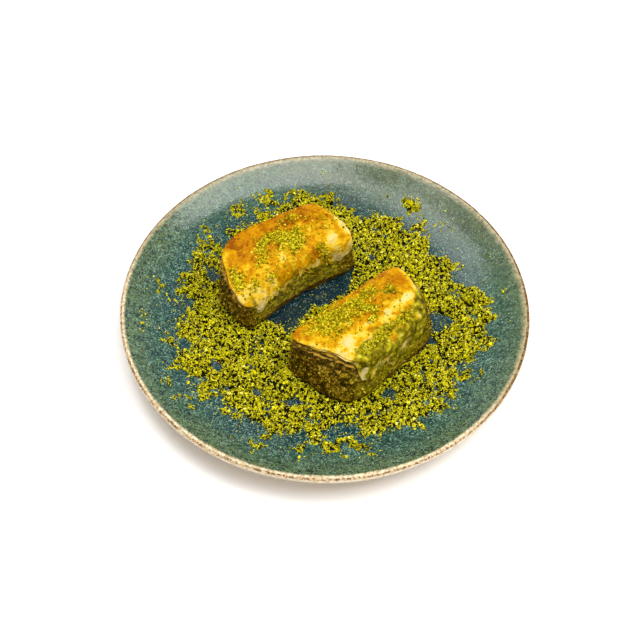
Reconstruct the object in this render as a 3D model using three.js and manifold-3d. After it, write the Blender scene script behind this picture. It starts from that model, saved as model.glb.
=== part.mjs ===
// Two slices of pistachio baklava on a round stoneware plate, with ground pistachio scattered
// over the plate and the pastry. Millimetres, +Z up. The origin is the centre of the foot ring,
// on the surface that the plate stands on, and -Y is the side that faces the viewer.
import * as THREE from "three";
import { mergeVertices } from "three/addons/utils/BufferGeometryUtils.js";
import Module from "manifold-3d";

const wasm = await Module();
wasm.setup();

// Plate: a coupe shape, flat in the middle and curving up to a rounded lip.
const PLATE_RADIUS = 100;
const PLATE_HEIGHT = 21;
const PLATE_SEGMENTS = 56;
const FLOOR_Z = 7.2;
const FLOOR_RADIUS = 58;
const LIP_THICKNESS = 3.4;
const WALL_THICKNESS = 3.6;
const WALL_SHIFT = 3.2;
const WALL_RISE_POWER = 1.8;
const FOOT_OUTER_RADIUS = 57;
const FOOT_INNER_RADIUS = 50;
const FOOT_TAPER = 1.2;
const FOOT_HEIGHT = 2.4;

// Pastry: each slice is a thin base, a thick filling and a crust that folds over the long sides.
const GAP = 0.3;
const BASE_HEIGHT = 3.6;
const CRUST_THICKNESS = 1.3;
const RING_POINTS = 44;
const CORNER_POWER = 6;
const LEAN_POWER = 2;
const HALF_LENGTH = 29;
const HALF_WIDTH = 17;

// Where the crust begins to turn down towards the left end, right end, front and back, as a
// share of the way from the middle of the slice.
const ROLL_START = [0.55, 0.55, 0, 0.7];

// Ground pistachio: a thin patchy layer with grains on it, and single grains further out.
const NUT_DEPTH = 1.5;
const NUT_EDGE_RADIUS = 76;
const NUT_SHEET_RADIUS = 82;
const NUT_CELLS = 31;
const GRAINS_IN_LAYER = 52;
const GRAINS_ON_PLATE = 18;
const GRAINS_ON_SLICE = 15;
const GRAIN_SIZE = [1.5, 2.5];

// Places that the ground nuts leave bare: centre and radius.
const BARE = [
  [-6, 8, 8],
  [4, 17, 7],
  [-17, -6, 6],
  [13, 28, 5],
  [57, -8, 8],
  [48, -24, 5],
  [29, -46, 5],
  [-15, -52, 6],
  [8, -66, 6],
  [-57, 25, 6],
  [70, 32, 8],
  [24, 72, 8],
];

// Corners are in order left back, left front, right front, right back: on the ground, and at the
// crust's upper edge. sag is how far each corner has sunk below the crown. The other values
// are for the left end, right end, front and back: how far the side bows out in plan below
// and above, how far the crust's edge turns down, and the height of the crust's hem as a
// share of the slice's height.
const SLICES = [
  {
    name: "back_slice",
    ground: [[-56, 12], [-35.5, -14], [17, 28], [2, 49]],
    top: [[-51, 20], [-36.5, -12], [14, 26.5], [-8, 47.5]],
    height: 34.5,
    bowBelow: [2, 2, -6, 0],
    bowAbove: [2, 1, -6, 0],
    sag: [0, 12, 3.5, 0],
    turn: [1.5, 1.5, 7, 1],
    hem: [0.85, 0.85, 0.4, 0.5],
    seed: 3,
  },
  {
    name: "front_slice",
    ground: [[-22, -29], [14, -56], [54, -14], [41, 8]],
    top: [[-18, -33], [21, -47], [45.5, -19.5], [32, 8.5]],
    height: 35,
    bowBelow: [3, 2, 0, 0],
    bowAbove: [-3, 2, 0, 0],
    sag: [9, 1, 3, 0],
    turn: [2, 2, 7, 1],
    hem: [0.85, 0.9, 0.45, 0.5],
    seed: 8,
  },
];

// A repeatable draw of numbers from 0 to 1.
function randomFrom(seed) {
  let state = seed * 2654435761;
  return () => {
    state = (state + 0x6d2b79f5) | 0;
    let t = Math.imul(state ^ (state >>> 15), 1 | state);
    t = (t + Math.imul(t ^ (t >>> 7), 61 | t)) ^ t;
    return ((t ^ (t >>> 14)) >>> 0) / 4294967296;
  };
}

// A smooth uneven field between about -1 and 1, made of sine waves that run in several ways.
function ripple(x, y, wave, seed) {
  const waves = 5;
  let sum = 0;
  for (let k = 0; k < waves; k++) {
    const angle = 2.4 * k + 0.7 * seed;
    const length = wave * (0.75 + 0.17 * k);
    const along = x * Math.cos(angle) + y * Math.sin(angle);
    sum += Math.sin((2 * Math.PI * along) / length + 1.9 * k * seed + seed);
  }
  return sum / Math.sqrt(2 * waves);
}

const mix = (a, b, t) => a + (b - a) * t;
const clamp01 = (t) => Math.min(1, Math.max(0, t));

// A closed three.js geometry as a solid, and back again.
function toSolid(geometry) {
  const bare = new THREE.BufferGeometry();
  bare.setAttribute("position", geometry.getAttribute("position"));
  bare.setIndex(geometry.index);
  const merged = mergeVertices(bare, 1e-3);
  return new wasm.Manifold(
    new wasm.Mesh({
      numProp: 3,
      vertProperties: merged.getAttribute("position").array,
      triVerts: new Uint32Array(merged.index.array),
    }),
  );
}

function toGeometry(solid) {
  const mesh = solid.getMesh();
  const geometry = new THREE.BufferGeometry();
  geometry.setAttribute("position", new THREE.BufferAttribute(mesh.vertProperties, 3));
  geometry.setIndex(new THREE.BufferAttribute(mesh.triVerts, 1));
  geometry.computeVertexNormals();
  return geometry;
}

const largestPiece = (solid) => solid.decompose().sort((a, b) => b.volume() - a.volume())[0];

// A closed surface through rings of points, from one pole to the other. The rings run
// anticlockwise seen from above where the surface faces outwards.
function ringGeometry(firstPole, rings, lastPole) {
  const count = rings[0].length;
  const points = [firstPole, ...rings.flat(), lastPole];
  const last = points.length - 1;
  const at = (ring, i) => 1 + ring * count + (i % count);
  const faces = [];
  for (let i = 0; i < count; i++) {
    faces.push(0, at(0, i + 1), at(0, i));
    for (let ring = 0; ring + 1 < rings.length; ring++) {
      faces.push(at(ring, i), at(ring, i + 1), at(ring + 1, i));
      faces.push(at(ring, i + 1), at(ring + 1, i + 1), at(ring + 1, i));
    }
    faces.push(last, at(rings.length - 1, i), at(rings.length - 1, i + 1));
  }
  const geometry = new THREE.BufferGeometry().setFromPoints(points);
  geometry.setIndex(faces);
  geometry.computeVertexNormals();
  return geometry;
}

// A closed block under a square net of points, given by where each point of the net lies. Its
// sides go straight down to a flat bottom.
function netGeometry(cells, place, bottom) {
  const points = [];
  const faces = [];
  const side = cells + 1;
  const top = (i, j) => j * side + i;
  for (let j = 0; j < side; j++) {
    for (let i = 0; i < side; i++) points.push(place((2 * i) / cells - 1, (2 * j) / cells - 1));
  }
  for (let j = 0; j < cells; j++) {
    for (let i = 0; i < cells; i++) {
      const [a, b, c, d] = [top(i, j), top(i + 1, j), top(i + 1, j + 1), top(i, j + 1)];
      if ((i + j) % 2) faces.push(a, b, c, a, c, d);
      else faces.push(a, b, d, b, c, d);
    }
  }
  const rim = [];
  for (let k = 0; k < cells; k++) rim.push(top(k, 0));
  for (let k = 0; k < cells; k++) rim.push(top(cells, k));
  for (let k = cells; k > 0; k--) rim.push(top(k, cells));
  for (let k = cells; k > 0; k--) rim.push(top(0, k));
  const foot = points.length;
  for (const index of rim) points.push(points[index].clone().setZ(bottom));
  const middle = points.length;
  points.push(new THREE.Vector3(0, 0, bottom));
  rim.forEach((upper, k) => {
    const next = (k + 1) % rim.length;
    faces.push(upper, foot + k, rim[next], foot + k, foot + next, rim[next]);
    faces.push(middle, foot + next, foot + k);
  });
  const geometry = new THREE.BufferGeometry().setFromPoints(points);
  geometry.setIndex(faces);
  return geometry;
}

// Height of the plate's inner surface at a radius.
function plateTop(radius) {
  const lipRadius = PLATE_RADIUS - LIP_THICKNESS;
  const share = clamp01((radius - FLOOR_RADIUS) / (lipRadius - FLOOR_RADIUS));
  const lipZ = PLATE_HEIGHT - LIP_THICKNESS / 2;
  return mix(FLOOR_Z, lipZ, share ** WALL_RISE_POWER);
}

function lathe(profile) {
  const geometry = new THREE.LatheGeometry(profile, PLATE_SEGMENTS);
  return geometry.rotateX(Math.PI / 2);
}

// The plate's outline from the middle of its underside out to the lip and back to the middle.
function plateProfile() {
  const half = LIP_THICKNESS / 2;
  const points = [
    new THREE.Vector2(0, FOOT_HEIGHT),
    new THREE.Vector2(FOOT_INNER_RADIUS - FOOT_TAPER, FOOT_HEIGHT),
    new THREE.Vector2(FOOT_INNER_RADIUS, 0),
    new THREE.Vector2(FOOT_OUTER_RADIUS, 0),
    new THREE.Vector2(FOOT_OUTER_RADIUS + FOOT_TAPER, FOOT_HEIGHT),
  ];
  const wallSteps = 4;
  const [wallStart, wallEnd] = [FOOT_OUTER_RADIUS + 3, PLATE_RADIUS - 0.6];
  for (let k = 1; k <= wallSteps; k++) {
    const radius = mix(wallStart, wallEnd, k / wallSteps);
    points.push(new THREE.Vector2(radius, plateTop(radius - WALL_SHIFT) - WALL_THICKNESS));
  }
  const lipSteps = 4;
  for (let k = 0; k <= lipSteps; k++) {
    const angle = (Math.PI * k) / lipSteps;
    const radius = PLATE_RADIUS - half + half * Math.cos(angle);
    points.push(new THREE.Vector2(radius, PLATE_HEIGHT - half + half * Math.sin(angle)));
  }
  const innerSteps = 6;
  for (let k = 1; k <= innerSteps; k++) {
    const radius = mix(PLATE_RADIUS - LIP_THICKNESS, FLOOR_RADIUS, k / innerSteps);
    points.push(new THREE.Vector2(radius, plateTop(radius)));
  }
  points.push(new THREE.Vector2(0, FLOOR_Z));
  return points;
}

// A point on a rounded square of half width 1, at a share of the way round from the middle of
// its right side.
function roundedSquare(share) {
  const step = (share * 4 + 0.5) % 4;
  const side = Math.floor(step);
  const along = 2 * (step - side) - 1;
  const [x, y] = [[1, along], [-along, 1], [-1, -along], [along, -1]][side];
  const size = (Math.abs(x) ** CORNER_POWER + Math.abs(y) ** CORNER_POWER) ** (1 / CORNER_POWER);
  return [x / size, y / size];
}

// A value given for the left end, right end, front and back of a slice, blended by direction.
function bySide(values, x, y) {
  const end = x < 0 ? values[0] : values[1];
  const long = y < 0 ? values[2] : values[3];
  const endPull = Math.abs(x) ** CORNER_POWER;
  const longPull = Math.abs(y) ** CORNER_POWER;
  return (end * endPull + long * longPull) / (endPull + longPull);
}

// A value given at the four corners of a slice, spread evenly between them.
function byCorner(values, a, b) {
  const back = mix(values[0], values[3], (a + 1) / 2);
  const front = mix(values[1], values[2], (a + 1) / 2);
  return mix(front, back, (b + 1) / 2);
}

// The place in plan of a point of the slice: a runs from the left end to the right end, b from
// front to back. The outline passes from the ground corners to the top corners with height.
function slicePlan(slice, a, b, height) {
  const leaning = clamp01(height / slice.height) ** LEAN_POWER;
  const corner = (axis) => slice.ground.map((low, i) => mix(low[axis], slice.top[i][axis], leaning));
  const point = new THREE.Vector2(byCorner(corner(0), a, b), byCorner(corner(1), a, b));
  const forward = new THREE.Vector2(...slice.ground[2]);
  forward.sub(new THREE.Vector2(...slice.ground[1])).normalize();
  const outward = new THREE.Vector2(forward.y, -forward.x);
  const bow = slice.bowBelow.map((low, i) => mix(low, slice.bowAbove[i], leaning));
  const acrossBow = bow[1] * (1 + a) - bow[0] * (1 - a);
  const deepBow = bow[2] * (1 - b) - bow[3] * (1 + b);
  point.addScaledVector(forward, ((1 - b * b) * acrossBow) / 2);
  point.addScaledVector(outward, ((1 - a * a) * deepBow) / 2);
  return point;
}

// Height of the crust's upper surface over the plate's floor: a dome that sinks towards some
// corners, turns down at the sides and is blistered all over.
function crustTop(slice, a, b) {
  const crown = 1.2;
  const rollBend = 0.98;
  let drop = byCorner(slice.sag, a, b) + crown * (0.6 * a * a + 0.4 * b * b);
  [-a, a, -b, b].forEach((share, side) => {
    const over = clamp01((share - ROLL_START[side]) / (1 - ROLL_START[side]));
    drop += slice.turn[side] * (1 - Math.sqrt(1 - rollBend * over * over));
  });
  const blister = 0.9 * ripple(HALF_LENGTH * a, HALF_WIDTH * b, 17, slice.seed);
  return slice.height - drop + blister * (1 - 0.5 * Math.max(Math.abs(a), Math.abs(b)));
}

function onSlice(slice, a, b, height) {
  const plan = slicePlan(slice, a, b, height);
  return new THREE.Vector3(plan.x, plan.y, FLOOR_Z + GAP + height);
}

// One ring of points round a slice. Its height and how far it stands out, in millimetres, may
// depend on the direction.
function sliceRing(slice, reach, height, grow = () => 0) {
  return Array.from({ length: RING_POINTS }, (_, i) => {
    const [x, y] = roundedSquare(i / RING_POINTS);
    const size = reach + grow(x, y) / HALF_WIDTH;
    const [a, b] = [x * size, y * size];
    return onSlice(slice, a, b, height(x, y, a, b));
  });
}

// An uneven line round a slice, by direction.
const around = (slice, x, y, wave, k) =>
  ripple(HALF_LENGTH * x, HALF_WIDTH * y, wave, slice.seed + k);

// Height of the crust's ragged lower edge in one direction. The cut ends are less ragged.
function hemHeight(slice, x, y) {
  const ragDepth = 1.5;
  const ragLength = 9;
  const leastHang = 1;
  const longSide = Math.abs(y) ** CORNER_POWER;
  const rag = ragDepth * around(slice, x, y, ragLength, 2) * mix(0.25, 1, longSide);
  const hem = slice.height * bySide(slice.hem, x, y) + rag;
  return Math.min(hem, crustTop(slice, x, y) - leastHang);
}

// The crust: a shell with a domed top, walls down to the hem, and the hollow for the filling.
function crustGeometry(slice) {
  const flareDepth = 0.5;
  const flareLength = 11;
  const edge = (x, y) => crustTop(slice, x, y);
  const hang = (share) => (x, y) => mix(edge(x, y), hemHeight(slice, x, y), share);
  const flare = (x, y) => flareDepth * around(slice, x, y, flareLength, 0);
  const inside = () => -CRUST_THICKNESS;
  const under = (x, y, a, b) => crustTop(slice, a, b) - CRUST_THICKNESS;
  const innerHang = (share) => (x, y) =>
    mix(edge(x, y) - CRUST_THICKNESS, hemHeight(slice, x, y), share);
  const rings = [
    sliceRing(slice, 0.45, under),
    sliceRing(slice, 0.8, under),
    sliceRing(slice, 1, innerHang(0.05), inside),
    sliceRing(slice, 1, innerHang(1), inside),
    sliceRing(slice, 1, hang(1), flare),
    sliceRing(slice, 1, hang(0.5), flare),
  ];
  for (const reach of [1, 0.95, 0.86, 0.72, 0.54, 0.3]) {
    rings.push(sliceRing(slice, reach, (x, y, a, b) => crustTop(slice, a, b)));
  }
  const top = crustTop(slice, 0, 0);
  const hollowTop = onSlice(slice, 0, 0, top - CRUST_THICKNESS);
  return ringGeometry(hollowTop, rings, onSlice(slice, 0, 0, top));
}

// The filling fills the crust from inside and bulges out below the crust's hem, with lumps of
// nut and the edges of pastry leaves in its sides.
function fillingGeometry(slice) {
  const inset = CRUST_THICKNESS + GAP;
  const floor = BASE_HEIGHT + GAP;
  const levels = [0, 0.18, 0.36, 0.55, 0.76, 1];
  const leafOut = [-0.2, 0.55, -0.35, 0.4, -0.4, -0.1];
  const sideReach = 0.985;
  const lumpDepth = 0.55;
  const lumpLength = 6.5;
  const crustClearance = 0.35;
  const shoulderClearance = 1.2;
  const hem = (x, y) => hemHeight(slice, x, y) - 2 * GAP;
  const sides = levels.map((share, k) =>
    sliceRing(
      slice,
      sideReach,
      (x, y) => mix(floor, hem(x, y), share),
      (x, y) => leafOut[k] + lumpDepth * around(slice, x, y, lumpLength, k),
    ),
  );
  const tucked = () => -inset - 0.1;
  const underCrust = (x, y, a, b) => crustTop(slice, a, b) - inset - crustClearance;
  const wallTop = (x, y) =>
    Math.max(hem(x, y), crustTop(slice, x, y) - inset - shoulderClearance);
  const rings = [
    sliceRing(slice, 0.6, () => floor),
    ...sides,
    sliceRing(slice, 1, hem, tucked),
    sliceRing(slice, 1, wallTop, tucked),
    sliceRing(slice, 0.72, underCrust),
    sliceRing(slice, 0.4, underCrust),
  ];
  const middle = onSlice(slice, 0, 0, underCrust(0, 0, 0, 0));
  return ringGeometry(onSlice(slice, 0, 0, floor), rings, middle);
}

// The base is a few soaked leaves of pastry, with their edges standing proud of each other.
function baseGeometry(slice) {
  const leafOut = [-0.9, 0.5, -0.2, 0.6, 0];
  const waveDepth = 0.4;
  const waveLength = 14;
  const edges = leafOut.map((out, k) =>
    sliceRing(
      slice,
      1,
      () => (BASE_HEIGHT * k) / (leafOut.length - 1),
      (x, y) => out + waveDepth * around(slice, x, y, waveLength, k),
    ),
  );
  return ringGeometry(onSlice(slice, 0, 0, 0), edges, onSlice(slice, 0, 0, BASE_HEIGHT));
}

// One crumb of nut: a squashed, uneven many-sided lump, tipped a little.
function grainSolid(random, place, lift) {
  const squash = 0.8;
  const mostTip = 0.8;
  const size = mix(GRAIN_SIZE[0], GRAIN_SIZE[1], random() ** 1.5) / 2;
  const geometry = new THREE.IcosahedronGeometry(size, 0);
  geometry.deleteAttribute("normal");
  geometry.deleteAttribute("uv");
  const merged = mergeVertices(geometry, 1e-3);
  const position = merged.getAttribute("position");
  for (let i = 0; i < position.count; i++) {
    const swell = mix(0.78, 1.2, random());
    position.setXYZ(
      i,
      position.getX(i) * swell,
      position.getY(i) * swell,
      position.getZ(i) * swell * squash,
    );
  }
  merged.rotateZ(random() * Math.PI * 2);
  merged.rotateX(random() * mostTip);
  merged.translate(place.x, place.y, place.z + lift * size);
  return toSolid(merged);
}

// How thickly the ground nuts lie at a place: about 1 where they cover the plate, 0 or less
// where it is bare.
function nutCover(x, y) {
  const edgeWander = 5;
  const edgeWidth = 9;
  const patchiness = 0.28;
  const bareness = 1.4;
  const edge = NUT_EDGE_RADIUS + edgeWander * ripple(x, y, 44, 5);
  let cover = clamp01((edge - Math.hypot(x, y)) / edgeWidth) + patchiness * ripple(x, y, 15, 2);
  for (const [bareX, bareY, bareRadius] of BARE) {
    cover -= bareness * clamp01(1.3 - Math.hypot(x - bareX, y - bareY) / bareRadius);
  }
  return cover;
}

// A column round each slice that the ground nuts stay out of.
function sliceColumn(slice) {
  const [low, high] = [-3, 8];
  const clearance = 1.6 + GAP;
  const ring = (height) => sliceRing(slice, 1, () => height, () => clearance);
  const rings = [ring(low), ring(high)];
  return toSolid(ringGeometry(onSlice(slice, 0, 0, low), rings, onSlice(slice, 0, 0, high)));
}

// Everything that lies below the plate's inner surface and a gap over it.
function belowPlateTop() {
  const bottom = -5;
  const wallRadii = [90, 82, 74, 66];
  const profile = [new THREE.Vector2(0, bottom), new THREE.Vector2(wallRadii[0], bottom)];
  for (const radius of [...wallRadii, FLOOR_RADIUS, 0]) {
    profile.push(new THREE.Vector2(radius, plateTop(radius) + GAP));
  }
  return toSolid(lathe(profile));
}

// The layer of ground nuts: an uneven, crumbly sheet that sinks into the plate where the plate
// shows, cut back to a gap from the plate and the slices.
function groundNuts() {
  const random = randomFrom(11);
  const sheetBottom = 2;
  const sunk = 0.35;
  const crumbShift = 1.2;
  const crumbHeight = 0.6;
  const sliceClearance = 4.5;
  const sameSurface = 0.08;
  const surface = (x, y) => {
    const thickness = NUT_DEPTH * (1.1 * Math.min(1, nutCover(x, y)) - sunk);
    return plateTop(Math.hypot(x, y)) + thickness;
  };
  const crumbly = (across, along) => {
    const reach = Math.max(Math.abs(across), Math.abs(along));
    const stretch = reach === 0 ? 0 : (NUT_SHEET_RADIUS * reach) / Math.hypot(across, along);
    const shift = reach < 1 ? crumbShift : 0;
    const x = across * stretch + mix(-shift, shift, random());
    const y = along * stretch + mix(-shift, shift, random());
    return new THREE.Vector3(x, y, surface(x, y) + mix(-crumbHeight, crumbHeight, random()));
  };
  const sheet = toSolid(netGeometry(NUT_CELLS, crumbly, sheetBottom));
  const grains = [];
  while (grains.length < GRAINS_IN_LAYER) {
    const radius = NUT_EDGE_RADIUS * Math.sqrt(random());
    const angle = random() * 2 * Math.PI;
    const [x, y] = [radius * Math.cos(angle), radius * Math.sin(angle)];
    if (nutCover(x, y) < 0.75 || nearSlice(x, y, sliceClearance)) continue;
    grains.push(grainSolid(random, new THREE.Vector3(x, y, surface(x, y)), 0.3));
  }
  let nuts = wasm.Manifold.union([sheet, ...grains]).subtract(belowPlateTop());
  for (const slice of SLICES) nuts = nuts.subtract(sliceColumn(slice));
  return largestPiece(nuts.simplify(sameSurface));
}

// Whether a place on the plate is within a distance of a slice's outline.
function nearSlice(x, y, distance) {
  return SLICES.some((slice) => {
    const outline = sliceRing(slice, 1, () => 0, () => distance);
    let inside = false;
    outline.forEach((p, i) => {
      const q = outline[(i + 1) % outline.length];
      const crosses = p.y > y !== q.y > y && x < p.x + ((y - p.y) / (q.y - p.y)) * (q.x - p.x);
      if (crosses) inside = !inside;
    });
    return inside;
  });
}

// The plate, with the stray grains that lie outside the layer of ground nuts.
function plateSolid() {
  const random = randomFrom(23);
  const furthest = PLATE_RADIUS - 14;
  const coverLimit = -0.1;
  const grains = [];
  while (grains.length < GRAINS_ON_PLATE) {
    const radius = mix(NUT_EDGE_RADIUS, furthest, random() ** 1.4);
    const angle = random() * 2 * Math.PI;
    const [x, y] = [radius * Math.cos(angle), radius * Math.sin(angle)];
    if (nutCover(x, y) > coverLimit) continue;
    grains.push(grainSolid(random, new THREE.Vector3(x, y, plateTop(radius)), 0.35));
  }
  return largestPiece(wasm.Manifold.union([toSolid(lathe(plateProfile())), ...grains]));
}

// A crust with the grains that stick to it, in patches.
function crustSolid(slice) {
  const random = randomFrom(slice.seed + 40);
  const reach = { a: 0.85, b: 0.75 };
  const patchSize = 24;
  const patchLimit = -0.1;
  const grains = [];
  while (grains.length < GRAINS_ON_SLICE) {
    const a = mix(-reach.a, reach.a, random());
    const b = mix(-reach.b, reach.b, random());
    const patch = ripple(HALF_LENGTH * a, HALF_WIDTH * b, patchSize, slice.seed + 1);
    if (patch < patchLimit) continue;
    grains.push(grainSolid(random, onSlice(slice, a, b, crustTop(slice, a, b)), 0.1));
  }
  return largestPiece(wasm.Manifold.union([toSolid(crustGeometry(slice)), ...grains]));
}

const glaze = new THREE.MeshStandardMaterial({ color: 0x2f5560, roughness: 0.22, metalness: 0 });
const nut = new THREE.MeshStandardMaterial({ color: 0x9a9a1c, roughness: 0.85, metalness: 0 });
const crust = new THREE.MeshStandardMaterial({ color: 0xd9932a, roughness: 0.3, metalness: 0 });
const filling = new THREE.MeshStandardMaterial({ color: 0x5d521c, roughness: 0.5, metalness: 0 });
const base = new THREE.MeshStandardMaterial({ color: 0x8a5f22, roughness: 0.45, metalness: 0 });

function node(name, geometry, material) {
  const mesh = new THREE.Mesh(geometry, material);
  mesh.name = name;
  return mesh;
}

const plateOfBaklava = new THREE.Group();
plateOfBaklava.add(node("plate", toGeometry(plateSolid()), glaze));
plateOfBaklava.add(node("ground_pistachio", toGeometry(groundNuts()), nut));
for (const slice of SLICES) {
  plateOfBaklava.add(node(`${slice.name}_base`, baseGeometry(slice), base));
  plateOfBaklava.add(node(`${slice.name}_filling`, fillingGeometry(slice), filling));
  plateOfBaklava.add(node(`${slice.name}_crust`, toGeometry(crustSolid(slice)), crust));
}

export default plateOfBaklava;
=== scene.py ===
# Two slices of pistachio baklava on a glazed stoneware plate. Sizes below are millimetres, in the
# frame of the CAD model: +Z up, origin in the middle of the foot ring, -Y towards the viewer.
# Only the glaze's places, the floor and the lights are in metres.
import math

import bpy
import numpy as np
from mathutils import Matrix, Vector


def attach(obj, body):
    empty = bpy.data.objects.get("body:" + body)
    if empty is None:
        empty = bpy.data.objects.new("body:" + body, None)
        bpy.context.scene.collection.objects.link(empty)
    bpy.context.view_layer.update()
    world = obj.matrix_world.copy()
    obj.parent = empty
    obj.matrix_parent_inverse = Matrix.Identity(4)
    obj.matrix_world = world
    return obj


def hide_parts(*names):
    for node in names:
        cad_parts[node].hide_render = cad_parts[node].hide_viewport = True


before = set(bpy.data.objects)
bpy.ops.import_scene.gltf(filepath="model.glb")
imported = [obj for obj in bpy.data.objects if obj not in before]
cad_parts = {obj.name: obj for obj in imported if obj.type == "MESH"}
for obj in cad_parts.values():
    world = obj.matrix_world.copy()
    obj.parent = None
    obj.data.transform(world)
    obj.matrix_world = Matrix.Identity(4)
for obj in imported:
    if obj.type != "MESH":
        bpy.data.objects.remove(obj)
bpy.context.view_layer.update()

MM = 0.001

# The plate
PLATE_RADIUS = 100
PLATE_HEIGHT = 21
FLOOR_Z = 7.2
FLOOR_RADIUS = 58
LIP_THICKNESS = 3.4
WALL_THICKNESS = 3.6
WALL_SHIFT = 3.2
WALL_RISE_POWER = 1.8
FOOT_OUTER_RADIUS = 57
FOOT_INNER_RADIUS = 50
FOOT_TAPER = 1.2
FOOT_HEIGHT = 2.4

# Towards the lip the wall swells inwards, and thins from below.
SWELL = 0.95
THINNING = 0.6
SWELL_START = 84
SWELL_END = 97.4
THINNING_END = 99

# The slices. Corners are in order left back, left front, right front, right back: on the ground,
# and at the crust's upper edge. sag is how far each corner has sunk below the crown. The other
# lists are for the left end, right end, front and back.
GAP = 0.3
BASE_HEIGHT = 3.6
CRUST_THICKNESS = 1.3
CORNER_POWER = 6
LEAN_POWER = 2
HALF_LENGTH = 29
HALF_WIDTH = 17
ROLL_START = [0.55, 0.55, 0, 0.7]
BACK_SLICE = {
    "name": "back_slice",
    "ground": [[-56, 12], [-35.5, -14], [17, 28], [2, 49]],
    "top": [[-51, 20], [-36.5, -12], [14, 26.5], [-8, 47.5]],
    "height": 34.5,
    "bow_below": [2, 2, -6, 0],
    "bow_above": [2, 1, -6, 0],
    "sag": [0, 12, 3.5, 0],
    "turn": [1.5, 1.5, 7, 1],
    "hem": [0.85, 0.85, 0.4, 0.5],
    "bake": 0.77,
    "drape_green": 0.25,
    "seed": 3,
}
FRONT_SLICE = {
    "name": "front_slice",
    "ground": [[-22, -29], [14, -56], [54, -14], [41, 8]],
    "top": [[-18, -33], [21, -47], [45.5, -19.5], [32, 8.5]],
    "height": 35,
    "bow_below": [3, 2, 0, 0],
    "bow_above": [-3, 2, 0, 0],
    "sag": [9, 1, 3, 0],
    "turn": [2, 2, 7, 1],
    "hem": [0.85, 0.9, 0.45, 0.5],
    "bake": 0.65,
    "drape_green": 0.85,
    "seed": 8,
}

# How the crust looks from place to place: a and b run from -1 to 1 along and across the slice,
# with b going on to -2 at the hem along the front, then come the spot's half length and half
# width in the same shares, and its strength.
BACK_SLICE["toasted"] = [
    [-0.55, 0.45, 0.18, 0.25, 0.12],
    [0.1, 0.7, 0.25, 0.15, 0.12],
    [0.62, 0.45, 0.15, 0.5, 0.15],
    [-0.9, 0.65, 0.1, 0.14, -0.35],
    [0.36, 0.25, 0.07, 0.1, -0.35],
    [-0.65, -0.1, 0.07, 0.14, -0.4],
    [-0.8, -0.65, 0.15, 0.3, -0.5],
    [-0.5, -0.6, 0.15, 0.25, -0.3],
    [-0.15, -0.5, 0.2, 0.28, -0.3],
    [0.65, -0.25, 0.3, 0.2, -0.15],
    [0.72, -0.8, 0.2, 0.25, -0.55],
    [0.92, -0.3, 0.08, 0.4, -0.3],
    [-0.65, -1.3, 0.13, 0.5, -0.35],
    [-0.45, -1.3, 0.03, 0.5, -0.4],
    [0.05, -1.6, 0.07, 0.4, -0.35],
    [0.33, -1.4, 0.05, 0.3, -0.3],
    [0.75, -1.5, 0.2, 0.5, -0.4],
]
BACK_SLICE["greened"] = [
    [0.1, -0.15, 0.3, 0.2, 0.35],
    [-0.93, -0.15, 0.06, 0.25, 0.3],
    [-0.87, -1.3, 0.05, 0.5, 0.6],
    [-0.3, -1.75, 0.25, 0.25, 0.4],
    [-0.12, -1.3, 0.1, 0.6, 0.45],
    [0.5, -1.3, 0.06, 0.6, 0.7],
    [0.28, -1.8, 0.15, 0.25, 0.45],
]
FRONT_SLICE["toasted"] = [
    [-0.65, 0.4, 0.35, 0.5, -0.14],
    [0.62, 0.7, 0.2, 0.4, 0.15],
    [0.3, 0.2, 0.12, 0.12, 0.2],
    [0.75, 0.25, 0.12, 0.15, 0.15],
    [-0.47, 0.3, 0.06, 0.1, -0.3],
    [-0.75, -0.3, 0.2, 0.2, -0.55],
    [-0.3, -0.3, 0.2, 0.18, -0.45],
    [0.12, -0.35, 0.14, 0.15, -0.55],
    [0.42, -0.3, 0.12, 0.12, -0.15],
    [0.68, -0.35, 0.18, 0.16, -0.6],
    [0.2, -0.65, 0.12, 0.1, -0.45],
    [-0.62, -0.7, 0.2, 0.14, -0.4],
    [-0.9, -0.75, 0.1, 0.25, -0.4],
    [-0.8, -1.4, 0.15, 0.5, -0.6],
    [-0.2, -1.6, 0.15, 0.3, -0.3],
    [0.2, -1.3, 0.1, 0.3, -0.3],
]
FRONT_SLICE["greened"] = [
    [0.04, 0.2, 0.08, 0.3, 0.9],
    [-0.14, -0.2, 0.12, 0.12, 0.75],
    [0.57, 0.25, 0.08, 0.16, 0.9],
    [0.25, 0.55, 0.3, 0.12, 0.4],
    [-0.35, 0.65, 0.4, 0.25, 0.3],
    [-0.6, -0.72, 0.15, 0.12, 0.35],
    [-0.15, -0.7, 0.3, 0.16, 0.65],
    [0.45, -0.7, 0.16, 0.14, 0.6],
    [-0.9, -0.6, 0.06, 0.3, 0.35],
    [0.85, -0.75, 0.2, 0.3, 0.8],
    [0.97, -0.3, 0.06, 0.4, 0.7],
    [-0.8, -1.5, 0.06, 0.4, -0.4],
    [-0.62, -1.75, 0.08, 0.2, -0.5],
    [-0.2, -1.75, 0.1, 0.12, -0.35],
    [0.15, -1.45, 0.07, 0.2, -0.3],
]

# Flaps of the crust's hem along the front: where, how wide and how far they hang lower.
BACK_SLICE["flaps"] = [[-0.88, 0.2, 10], [0.12, 0.1, -2.5], [0.75, 0.25, 2.0]]
FRONT_SLICE["flaps"] = [[-0.85, 0.2, 4], [-0.1, 0.3, 3], [0.5, 0.35, 8]]

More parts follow.
